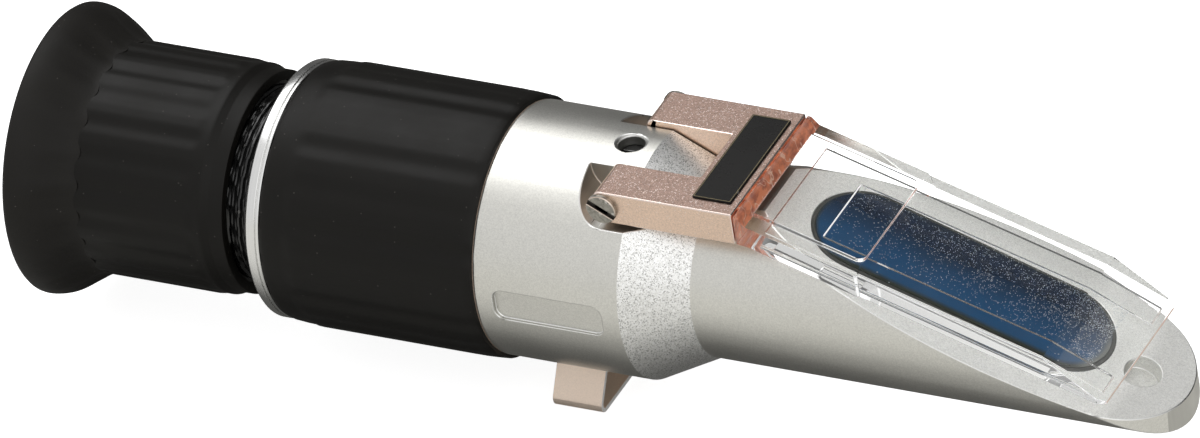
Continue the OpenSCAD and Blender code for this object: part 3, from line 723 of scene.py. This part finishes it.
class BuildStage(bpy.types.Operator):
    """Set up the camera, the pale floor and the soft light"""
    bl_idname = "refractometer.stage"
    bl_label = "Stage"

    def execute(self, context):
        scene = context.scene
        view = scene.refractometer_view
        camera = piece("camera", bpy.data.cameras.new("camera"))
        turn = Matrix((CAMERA_RIGHT, CAMERA_UP, CAMERA_BACK)).transposed().to_4x4()
        camera.matrix_world = Matrix.Translation(CAMERA_PLACE) @ turn
        camera.data.lens = view.focal_length
        camera.data.sensor_width = 36
        camera.data.sensor_fit = "HORIZONTAL"
        camera.data.clip_end = 20
        scene.camera = camera
        scene.view_settings.view_transform = "Standard"
        lay_floor()
        light_room(scene, view.room_light)
        hang_lamp(view.lamp_power)
        return {"FINISHED"}


class BuildHousing(bpy.types.Operator):
    """Build the satin body with its blasted cone and slanted face"""
    bl_idname = "refractometer.housing"
    bl_label = "Body housing"

    BARREL, CONE, SLANT, MACHINED, DARK, EDGE = range(6)

    def finish_of(self, centre, normal):
        """Which finish a face of the housing has."""
        x = centre.x - CONE_X
        away = Vector((0, centre.y, centre.z - AXIS_Z))
        r = away.length
        outward = normal.dot(away) / r if r > 0 else 0
        over = Vector((x - SLANT_START, 0, centre.z - AXIS_Z)).dot(SLANT_NORMAL)
        if normal.dot(SLANT_NORMAL) > 0.999:
            return self.SLANT if over > -0.1 * MM or x > TIP_START else self.DARK
        if x > TIP_START and over < -0.05 * MM and outward < 0:
            return self.SLANT
        if outward > 0.85 and r > FRONT_R - 0.3 * MM:
            return self.CONE if 0 < x < CONE_LEN else self.BARREL
        if abs(normal.z) < 0.1 and x > FLATS_START and outward > 0.2:
            return self.BARREL
        if outward < -0.5 and r < BORE_R and abs(centre.y) < BORE_R and x < POCKETS_END:
            return self.DARK
        return self.MACHINED

    def execute(self, context):
        metal = context.scene.refractometer_metal
        base = tuple(metal.body_colour)
        softened_copy("housing_shell", "body_housing", metal.edge_width, [
            blasted_metal("satin_barrel", base, 0.38, 8500.0, 0.16, 0.0, 0.003),
            blasted_metal("blasted_cone", (0.92, 0.92, 0.90), 0.48, 8500.0, 0.45, 0.13, 0.004,
                          (0.42, 0.42, 0.41)),
            blasted_metal("blasted_slant", (0.86, 0.86, 0.83), 0.56, 8500.0, 0.24, 0.04, 0.003,
                          metallic=0.5),
            # Milled faces, mostly in the pockets and notches, are darker than the body: partly their own
            # machined tone, partly painted shade in the recesses
            turned_metal("milled_metal_shaded", [value * 0.72 for value in base], 0.36, 2500.0),
            plastic("blackened_bore", (0.012, 0.012, 0.012), 0.6),
            turned_metal("bright_edge", (0.82, 0.82, 0.8), 0.3),
        ], self.finish_of, self.EDGE)
        return {"FINISHED"}


def from_line(graph, along, across, width):
    """How far a point lies from the middle line of the round-ended prism."""
    middle = (PRISM_REAR + PRISM_FRONT) / 2
    away = graph.math("ABSOLUTE", graph.minus(along, middle))
    past = graph.math("MAXIMUM", graph.minus(away, half("prism", 0) - width * SLANT_NORMAL.z), 0.0)
    past = graph.math("DIVIDE", past, SLANT_NORMAL.z)
    return graph.math("SQRT", graph.plus(graph.times(past, past), graph.times(across, across)))


class BuildPrism(bpy.types.Operator):
    """Finish the blue prism, with painted shade towards its far side and along its rim, and the grey seal
    round it
    """
    bl_idname = "refractometer.prism"
    bl_label = "Prism and seal"

    def execute(self, context):
        glass = context.scene.refractometer_glass
        material, graph, shader = principled("blue_prism", {"Specular IOR Level": 0.6, "IOR": 1.6})
        along, across = graph.axis("X"), graph.axis("Y")
        width = half("prism", 1)
        wear = graph.wear(170.0, 2600.0, 0.02)
        wander = graph.times(graph.minus(wear["Smudge"], 0.5), 0.35 * width)
        # Painted shade: the prism is painted darker towards its far side
        far = graph.spread(graph.plus(across, wander), -0.35 * width, 0.45 * width)
        blue = graph.tint(far, colour(glass.prism_near), colour(glass.prism_far_shade))
        rear = graph.spread(along, PRISM_REAR, PRISM_REAR + 4 * MM, 1.5 * MM, 0.0)
        edge = graph.plus(from_line(graph, along, across, width), rear)
        # Painted shade along the prism's rim, widest at the rear end by the seal; towards the front the
        # rim turns a frosty grey
        rim = graph.times(graph.spread(edge, width - 1.1 * MM, width - 0.3 * MM),
                          graph.spread(far, 0.6, 1.0, 1.0, 0.3))
        frost = graph.spread(along, PRISM_FRONT - 3 * MM, PRISM_FRONT - 0.5 * MM)
        shade = graph.tint(rim, blue, graph.tint(frost, (0.028, 0.034, 0.024, 1), (0.13, 0.14, 0.13, 1)))
        graph.wire(shader, {
            "Base Color": graph.tint(wear["Speck"], shade, (0.3, 0.33, 0.36, 1)),
            "Roughness": graph.spread(wear["Smudge"], 0.3, 0.8, 0.12, 0.3),
        })
        paint(nodes["prism"], [material])
        paint(nodes["prism_seal"], [plastic("grey_sealant", (0.06, 0.062, 0.055), 0.5, 0.3, 0.02)])
        return {"FINISHED"}


def build_grip(soft):
    rear, front = ends("rubber_grip")
    base = half("rubber_grip", 2) - soft.grip_rib_height
    steps = 42

    def rise(angle):
        return rib(angle, soft.grip_ribs, math.radians(-4), 0.75, 0.45)

    def surface(x, drop, angle):
        """The outer surface, with its ribs faded out towards the collar."""
        shown = smoothstep(x, rear + 3.4 * MM, rear + 4.8 * MM)
        return x, base - drop + soft.grip_rib_height * shown * rise(angle)

    def end(x, r, reach, angle):
        """The rear end, which a valley pulls in a little."""
        return x + reach * (1 - rise(angle)), r

    rings = [
        partial(end, rear, GRIP_SEAT, 0), partial(end, rear, base - 0.42 * MM, 0.18 * MM),
        partial(end, rear + 0.12 * MM, base - 0.3 * MM, 0.12 * MM),
    ]
    for i in range(1, steps - 1):
        x = rear + (front - rear) * i / steps
        drop = 0.16 * MM * (1 - smoothstep(x, rear, rear + 3 * MM))
        drop += 0.16 * MM * smoothstep(x, front - 4 * MM, front)
        rings.append(partial(surface, x, drop))
    rings.append(partial(surface, front - 0.35 * MM, 0.2 * MM))
    rings.append(partial(surface, front - 0.1 * MM, 0.34 * MM))
    rings += plain_rings([(front, base - 0.5 * MM), (front, GRIP_SEAT)])
    line_front = front + 0.09 * MM
    line_r = base - 0.6 * MM
    line = turned("grip_line", plain_rings([
        (front, GRIP_SEAT), (front, line_r), (line_front, line_r), (line_front, GRIP_SEAT),
    ]))
    add_to(line, "rubber_grip", [plastic("pale_glue", (0.36, 0.28, 0.22), 0.4)])
    grip = turned("ribbed_grip", rings, 480)
    stand_for(grip, "rubber_grip", [rubber("grip_rubber", soft.black, 0.46, 1500.0, 0.2)])


def build_collar(base):
    rear, front = ends("grip_collar")
    outer = half("grip_collar", 2)
    band = rear + 0.72 * (front - rear)
    rings = plain_rings([(rear, COLLAR_BORE)])
    rings += shifted(rear, outer, [(0, -0.4), (0.12, -0.2), (0.34, -0.02), (0.42, 0)])
    rings += shifted(band, outer, [
        (-0.06, 0), (0, -0.05), (0, -0.32), (0.16, -0.32), (0.16, -0.1), (0.22, -0.03)])
    rings += shifted(front, outer, [(-0.08, -0.03), (0, -0.1)])
    rings += plain_rings([(front, COLLAR_BORE)])
    collar = turned("turned_collar", rings, 360)
    stand_for(collar, "grip_collar", [turned_metal("turned_aluminium", base, 0.22)])


class BuildGrip(bpy.types.Operator):
    """Build the ribbed rubber grip and the bright collar behind it"""
    bl_idname = "refractometer.grip"
    bl_label = "Grip and collar"

    def execute(self, context):
        build_grip(context.scene.refractometer_rubber)
        build_collar(tuple(context.scene.refractometer_metal.collar_colour))
        return {"FINISHED"}


def sleeve_rib(angle, soft):
    return rib(angle, soft.sleeve_ribs, math.radians(3.74), 0.8)


def seam(angle, soft):
    """Station of the seam between sleeve and eyecup, which follows the sleeve's ribs."""
    return SLEEVE_REAR + 0.5 * MM * (1 - sleeve_rib(angle, soft))


def build_sleeve(soft):
    front = SLEEVE_FRONT
    outer = half("focus_sleeve", 2)
    base = outer - soft.sleeve_rib_height
    lip = outer - 0.65 * MM
    bevel_front = front - 2.1 * MM
    bevel_rear = bevel_front - 1.05 * MM
    fade = bevel_rear - 0.9 * MM
    steps = 44

    def surface(share, angle):
        rear = seam(angle, soft)
        x = rear + (bevel_rear - rear) * share
        shown = 1 - smoothstep(x, fade - 1.3 * MM, fade)
        up = shown * sleeve_rib(angle, soft) + 0.35 * (1 - shown)
        return x, base + soft.sleeve_rib_height * up

    rings = [lambda angle: (seam(angle, soft), SLEEVE_BORE)]
    rings += [partial(surface, i / steps) for i in range(steps + 1)]
    rings += shifted(bevel_rear, base, [(0.12, 0.02)])
    rings += shifted(bevel_front, lip, [(-0.1, 0.1), (0.1, 0)])
    rings += shifted(front, lip, [(-0.3, 0), (-0.08, -0.08), (0, -0.3)])
    rings += plain_rings([(front, SLEEVE_BORE)])
    sleeve = turned("ribbed_sleeve", rings, 440)
    stand_for(sleeve, "focus_sleeve", [rubber("sleeve_rubber", soft.black, 0.46, 1500.0, 0.2)])


def build_cup(soft):
    rim, neck = ends("eyecup")
    outer = half("eyecup", 2)
    wall = 1.5 * MM
    root = half("focus_sleeve", 2) - 0.12 * MM
    end = rim + wall / 2
    front = SLEEVE_REAR
    steps = 28

    def bell(share, r0, r1):
        return r0 + (r1 - r0) * math.sin(math.radians(90) * share) ** 1.6

    def outside(share, angle):
        start = seam(angle, soft)
        return start + (end - start) * share, bell(share, root, outer - 0.02 * MM)

    rings = plain_rings([(neck, EYE_BORE), (neck, BARREL_SEAT)])
    rings.append(lambda angle: (seam(angle, soft), BARREL_SEAT))
    rings += [partial(outside, i / steps) for i in range(steps + 1)]
    lip = [math.radians(180) * i / 8 for i in range(1, 8)]
    rings += plain_rings([
        (end - wall / 2 * math.sin(turn), outer - wall / 2 + wall / 2 * math.cos(turn)) for turn in lip])
    rings += plain_rings([
        (front + (end - front) * i / steps, bell(i / steps, EYE_BORE, outer - wall))
        for i in range(steps, -1, -1)])
    cup = turned("flared_eyecup", rings, 440)
    stand_for(cup, "eyecup", [rubber("eyecup_rubber", soft.cup_colour, 0.6, 2600.0, 0.26, 0.02)])


def build_barrel():
    """The barrel with the four-start thread that shows between the sleeve and the collar."""
    rear, front = ends("eyepiece_barrel")
    shoulder = SLEEVE_FRONT - 0.9 * MM
    thread = 12.92 * MM
    depth = 0.4 * MM
    starts = 4
    lead = 4 * MM
    lens_r = half("field_lens", 2)
    lens_seat = lens_r + 0.02 * MM
    lens_stop = lens_r - 0.8 * MM
    stack_rear = ends("lens_retainer")[0]
    stack_front = ends("field_lens")[1] - 0.2 * MM
    groove = ends("travel_stop_ring")[0] - 0.1 * MM
    groove_end = groove + 1.4 * MM
    groove_r = 12.1 * MM
    last = groove - 1.2 * MM
    count = 110
    runout = 8

    def threaded(x, shown, angle):
        turn = (x / lead + angle / math.tau) * starts
        away = abs(turn - round(turn)) * 2
        return x, thread - depth * shown * (1 - smoothstep(away, 0.1, 0.75))

    rings = plain_rings([
        (rear, EYE_BORE), (rear, BARREL_SEAT), (shoulder, BARREL_SEAT), (shoulder, thread)])
    for i in range(1, count):
        shown = smoothstep(i, 0, runout) * (1 - smoothstep(i, count - runout, count))
        rings.append(partial(threaded, shoulder + (last - shoulder) * i / count, shown))
    rings += plain_rings([
        (groove, thread), (groove, groove_r), (groove_end, groove_r), (groove_end, thread),
        (front, thread), (front, EYE_BORE), (stack_front + MM, EYE_BORE), (stack_front + MM, lens_stop),
        (stack_front, lens_stop), (stack_front, lens_seat), (stack_rear, lens_seat),
        (stack_rear, EYE_BORE),
    ])
    barrel = turned("threaded_barrel", rings, 288)
    stand_for(barrel, "eyepiece_barrel", [
        plastic("greased_black", (0.004, 0.004, 0.004), 0.16, 0.6, 0.012)])


class BuildEyepiece(bpy.types.Operator):
    """Build the threaded barrel, the ribbed sleeve, the eyecup and the socket"""
    bl_idname = "refractometer.eyepiece"
    bl_label = "Eyepiece"

    def execute(self, context):
        soft = context.scene.refractometer_rubber
        build_sleeve(soft)
        build_cup(soft)
        build_barrel()
        softened_copy("socket_ring", "ocular_socket", 0.12 * MM, [
            plastic("gloss_black_socket", (0.005, 0.005, 0.005), 0.22)])
        return {"FINISHED"}


def slotted_screws():
    """Two shouldered screws, each with a wide slot across a low head."""
    low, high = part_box("hinge_screws")
    centre = (low + high) / 2
    head_r = (high.x - low.x) / 2
    shank_r = 1.0 * MM
    arm_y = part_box("lid_frame")[1].y
    top = high.y - 0.7 * MM
    floor = top - 0.4 * MM
    slot = 0.4 * MM
    bevel = 0.12 * MM
    turn = math.radians(-29)
    bm = bmesh.new()

    def ring(points, y, side):
        return [bm.verts.new((centre.x + u * math.cos(turn) - v * math.sin(turn), side * y,
                              centre.z + u * math.sin(turn) + v * math.cos(turn))) for u, v in points]

    def solid(layers, side, finishes, wall=0):
        """Stacked outlines. The last face of the first band is the slot's wall."""
        rings = [ring(points, y, side) for points, y in layers]
        for i in range(len(rings) - 1):
            count = len(bm.faces)
            bridge(bm, rings[i], rings[i + 1])
            bm.faces.ensure_lookup_table()
            for face in bm.faces[count:]:
                face.material_index = finishes[i]
            if i == 0:
                bm.faces[-1].material_index = wall
        bm.faces.new(rings[0])
        bm.faces.new(rings[-1]).material_index = finishes[-1]

    def arc(r, turns):
        return [(r * math.cos(turn), r * math.sin(turn)) for turn in turns]

    def circle(r):
        return arc(r, [math.tau * i / 64 for i in range(64)])

    def half_head(r, gap, begin):
        start = math.asin(gap / r)
        return arc(r, [begin + start + (math.pi - 2 * start) * i / 40 for i in range(41)])

    for side in (-1, 1):
        solid([(circle(shank_r), arm_y - 4.5 * MM), (circle(shank_r), floor)], side, [0, 0])
        solid([(circle(head_r), arm_y + 0.02 * MM), (circle(head_r), floor)], side, [0, 2])
        for begin in (0, math.pi):
            solid([
                (half_head(head_r, slot, begin), floor), (half_head(head_r, slot, begin), top - bevel),
                (half_head(head_r - bevel, slot + bevel / 2, begin), top),
            ], side, [0, 1, 0], 2)
    return formed("slotted_screws", bm, 25.0)


class BuildLidFrame(bpy.types.Operator):
    """Build the rose-coloured lid frame and its two slotted screws"""
    bl_idname = "refractometer.lid_frame"
    bl_label = "Lid frame and screws"

    TOP, SIDE, EDGE = range(3)

    def finish_of(self, centre, normal):
        return self.TOP if normal.z > 0.9 else self.SIDE

    def execute(self, context):
        base = tuple(context.scene.refractometer_metal.lid_colour)
        pale = (0.93, 0.82, 0.78)
        softened_copy("hinged_frame", "lid_frame", 0.16 * MM, [
            blasted_metal("rose_blasted", base, 0.42, 9500.0, 0.6, 0.05, 0.003, pale),
            # The sides are a paler, lit copy of the rose anodising: painted light on the sides, with a
            # satin finish
            blasted_metal("rose_satin_painted_light", (0.86, 0.66, 0.53), 0.4, 9500.0, 0.24, 0.01, 0.002, pale),
            turned_metal("rose_polished", (0.92, 0.78, 0.71), 0.24),
        ], self.finish_of, self.EDGE)
        stand_for(slotted_screws(), "hinge_screws", [
            blasted_metal("nickel", (0.34, 0.325, 0.29), 0.34, 2600.0, 0.45, 0.05, 0.01,
                          (0.6, 0.58, 0.54)),
            turned_metal("nickel_edge", (0.66, 0.56, 0.48), 0.2),
            plastic("slot_shadow", (0.02, 0.016, 0.012), 0.5),
        ])
        return {"FINISHED"}


class BuildLabel(bpy.types.Operator):
    """Build the bare gloss label and the thin line round it"""
    bl_idname = "refractometer.label"
    bl_label = "Label"

    def execute(self, context):
        low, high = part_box("lid_label")
        centre = (low + high) / 2
        half_x, half_y = half("lid_label", 0), half("lid_label", 1)
        top = high.z - 0.02 * MM
        line_low = top - 0.01 * MM

        def outline(bm, inset, z):
            """A rectangle with round corners, drawn in from the label's edge by a few tenths."""
            radius = max(0.05, 0.15 - inset / 2) * MM
            reach_x, reach_y = half_x - inset * MM - radius, half_y - inset * MM - radius
            steps = 6
            verts = []
            for corner, (sx, sy) in enumerate(((1, 1), (-1, 1), (-1, -1), (1, -1))):
                for i in range(steps + 1):
                    turn = math.radians(90) * (corner + i / steps)
                    verts.append(bm.verts.new((centre.x + sx * reach_x + radius * math.cos(turn),
                                               centre.y + sy * reach_y + radius * math.sin(turn), z)))
            return verts

        bm = bmesh.new()
        rings = [outline(bm, 0, low.z), outline(bm, 0, top - 0.04 * MM), outline(bm, 0.04, top)]
        bridge(bm, rings[0], rings[1])
        bridge(bm, rings[1], rings[2])
        bm.faces.new(rings[2])
        bm.faces.new(rings[0])
        stand_for(formed("gloss_label", bm), "lid_label", [
            plastic("label_black", (0.005, 0.0045, 0.004), 0.25, 0.22, 0.002)])

        bm = bmesh.new()
        bridge_round(bm, [outline(bm, 0.14, line_low), outline(bm, 0.14, high.z),
                          outline(bm, 0.22, high.z), outline(bm, 0.22, line_low)])
        add_to(piece("label_line", mesh_from("label_line", bm)), "lid_label", [
            turned_metal("pale_gold", (0.30, 0.25, 0.15), 0.4)])
        return {"FINISHED"}


def wrinkled_film():
    """A sheet with a flat back and a face that two sizes of wrinkle run across."""
    rows, columns = 26, 110
    low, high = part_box("plate_adhesive")
    thick = high.x - low.x
    bm = bmesh.new()
    back, face = {}, {}
    for j in range(rows + 1):
        z = low.z + (high.z - low.z) * j / rows
        for i in range(columns + 1):
            y = low.y + (high.y - low.y) * i / columns
            fold = noise.noise(Vector((y / (0.9 * MM), z / (3.2 * MM), 2.7)))
            fold += 0.5 * noise.noise(Vector((y / (0.35 * MM), z / (1.1 * MM), 9.1)))
            x = high.x - thick * (0.35 - 0.3 * fold)
            back[j, i] = bm.verts.new((low.x, y, z))
            face[j, i] = bm.verts.new((min(max(x, low.x + 0.3 * thick), high.x), y, z))
    for side in (back, face):
        for j in range(rows):
            for i in range(columns):
                bm.faces.new((side[j, i], side[j, i + 1], side[j + 1, i + 1], side[j + 1, i]))
    border = [(0, i) for i in range(columns)] + [(j, columns) for j in range(rows)]
    border += [(rows, i) for i in range(columns, 0, -1)] + [(j, 0) for j in range(rows, 0, -1)]
    bridge(bm, [back[at] for at in border], [face[at] for at in border])
    return formed("wrinkled_film", bm, 60.0)


class BuildFilm(bpy.types.Operator):
    """Build the wrinkled copper film between the frame and the cover plate"""
    bl_idname = "refractometer.film"
    bl_label = "Copper film"

    def execute(self, context):
        stand_for(wrinkled_film(), "plate_adhesive", [
            copper_film("copper_film", context.scene.refractometer_glass.film_colour)])
        return {"FINISHED"}


def underside():
    """A point of the pad's face and its normal."""
    bm = bmesh.new()
    bm.from_mesh(nodes["cover_plate"].data)
    bm.normal_update()
    faces = [face for face in bm.faces if face.normal.z < -0.9 and face.normal.x < -0.2]
    pad = max(faces, key=lambda face: face.normal.dot(face.calc_center_median()))
    found = pad.calc_center_median(), pad.normal.copy()
    bm.free()
    return found


def add_speckles(share):
    """A thin scatter of pale specks on the pad, denser towards the nose and the far side."""
    point, normal = underside()
    bm = bmesh.new()
    layers = []
    for depth in (0.01 * MM, 0.03 * MM):
        ring = []
        for x, side in ((PAD_REAR, -1), (PAD_FRONT, -1), (PAD_FRONT, 1), (PAD_REAR, 1)):
            y = side * PAD_HALF_Y
            z = point.z - (normal.x * (x - point.x) + normal.y * (y - point.y)) / normal.z
            ring.append(bm.verts.new(Vector((x, y, z)) + normal * depth))
        bm.faces.new(ring)
        layers.append(ring)
    bridge(bm, *layers)
    material, graph, shader = principled("pale_speckles", {"Roughness": 0.5})
    place = graph.place()
    along, across = graph.axis("X"), graph.axis("Y")
    cells = graph.cells(place, 7800.0)
    chance = graph.parts(cells["Color"])
    crowd = graph.plus(graph.spread(along, PAD_REAR, PAD_FRONT, 0.5 * share, 1.4 * share),
                       graph.spread(along, PAD_FRONT - 9 * MM, PAD_FRONT, 0.0, 2.2 * share))
    crowd = graph.times(crowd, graph.spread(across, -PAD_HALF_Y, PAD_HALF_Y, 0.6, 1.6))
    crowd = graph.times(crowd, graph.spread(graph.noise(place, 260.0), 0.35, 0.65, 0.5, 1.5))
    there = graph.below(chance[0], crowd)
    graph.wire(shader, {
        "Alpha": graph.times(there, graph.below(cells["Distance"], 0.38)),
        "Base Color": graph.tint(chance[1], (0.8, 0.8, 0.78, 1), (0.3, 0.38, 0.45, 1)),
    })
    add_to(piece("pad_speckle", mesh_from("pad_speckle", bm)), "cover_plate", [material])


class BuildPlate(bpy.types.Operator):
    """Build the clear cover plate and the speckles under its pad"""
    bl_idname = "refractometer.plate"
    bl_label = "Cover plate"

    CLEAR, FRONT, GLUED = range(3)

    def finish_of(self, centre, normal):
        """The front edge is painted with a faint peach glow, and the film is glued to the rear face."""
        if normal.x > 0.9 and centre.x > PLATE_FRONT - 0.02 * MM:
            return self.FRONT
        return self.GLUED if normal.x < -0.9 and centre.x < PLATE_REAR + 0.05 * MM else self.CLEAR

    def execute(self, context):
        glass = context.scene.refractometer_glass
        softened_copy("moulded_plate", "cover_plate", 0.08 * MM, [
            acrylic("clear_acrylic", (0.985, 0.99, 0.985)),
            plastic("peach_edge_glow", tuple(glass.edge_glow_colour), 0.4),
            copper_film("glued_film", glass.film_colour),
        ], self.finish_of, merged=False)
        add_speckles(glass.speckles)
        return {"FINISHED"}


class BuildFoot(bpy.types.Operator):
    """Build the bent sheet foot"""
    bl_idname = "refractometer.foot"
    bl_label = "Foot"

    def finish_of(self, centre, normal):
        return 1 if abs(normal.x) > 0.9 else 0

    def execute(self, context):
        base = tuple(context.scene.refractometer_metal.foot_colour)
        softened_copy("bent_foot", "foot_bracket", 0.05 * MM, [
            blasted_metal("champagne", base, 0.45, 9500.0, 0.07, 0.0, 0.002, metallic=0.6),
            # The sheet's cut edges are bare metal with a painted highlight, painted near white
            plastic("cut_edge_highlight", (0.95, 0.93, 0.9), 0.3),
        ], self.finish_of)
        return {"FINISHED"}


class BuildCalibration(bpy.types.Operator):
    """Build the calibration screw"""
    bl_idname = "refractometer.calibration"
    bl_label = "Calibration screw"

    def execute(self, context):
        softened_copy("calibration_slot_screw", "calibration_screw", 0.1 * MM, [
            turned_metal("blackened_steel", (0.045, 0.045, 0.045), 0.3),
            turned_metal("rubbed_steel", (0.25, 0.25, 0.25), 0.25),
        ], edge_slot=1)
        return {"FINISHED"}


class BuildInside(bpy.types.Operator):
    """Finish the lenses, rings, springs and strips inside"""
    bl_idname = "refractometer.inside"
    bl_label = "Inner parts"

    def execute(self, context):
        for material, dressed in (
            (plastic("black_anodised", (0.010, 0.010, 0.010), 0.5),
             ("light_baffle", "objective_carrier", "reticle_cell", "reticle_retainer", "lens_spacer",
              "lens_retainer")),
            (turned_metal("spring_steel", (0.55, 0.55, 0.55), 0.3), ("carrier_spring", "bimetal_screw")),
            (lens_glass("coated_lens", (0.93, 0.95, 0.97), 1.52),
             ("objective_lens", "eye_lens", "field_lens", "reticle")),
            (turned_metal("rolled_bimetal", (0.5, 0.38, 0.18), 0.35), ("bimetal_strip",)),
            (plastic("natural_nylon", (0.62, 0.58, 0.48), 0.45), ("travel_stop_ring",)),
        ):
            for node in dressed:
                paint(nodes[node], [material])
        return {"FINISHED"}


OPERATORS = [
    BuildStage, BuildHousing, BuildPrism, BuildGrip, BuildEyepiece, BuildLidFrame, BuildLabel, BuildFilm,
    BuildPlate, BuildFoot, BuildCalibration, BuildInside,
]
SETTINGS = {
    "refractometer_view": RefractometerView,
    "refractometer_metal": RefractometerMetal,
    "refractometer_rubber": RefractometerRubber,
    "refractometer_glass": RefractometerGlass,
}


class RefractometerPanel(bpy.types.Panel):
    """Lists the pieces of the refractometer and what can be changed"""
    bl_idname = "VIEW3D_PT_refractometer"
    bl_label = "Refractometer"
    bl_space_type = "VIEW_3D"
    bl_region_type = "UI"
    bl_category = "Refractometer"

    def draw(self, context):
        for settings, group in SETTINGS.items():
            box = self.layout.box()
            for name in group.__annotations__:
                box.prop(getattr(context.scene, settings), name)
        for operator in OPERATORS:
            self.layout.operator(operator.bl_idname)


CLASSES = [*SETTINGS.values(), *OPERATORS, RefractometerPanel]


def register():
    for cls in CLASSES:
        bpy.utils.register_class(cls)
    for settings, group in SETTINGS.items():
        setattr(bpy.types.Scene, settings, PointerProperty(type=group))


def unregister():
    for settings in SETTINGS:
        delattr(bpy.types.Scene, settings)
    for cls in reversed(CLASSES):
        bpy.utils.unregister_class(cls)


def main():
    register()
    build = bpy.ops.refractometer
    build.stage()
    build.housing()
    build.prism()
    build.grip()
    build.eyepiece()
    build.lid_frame()
    build.label()
    build.film()
    build.plate()
    build.foot()
    build.calibration()
    build.inside()


if __name__ == "__main__":
    main()
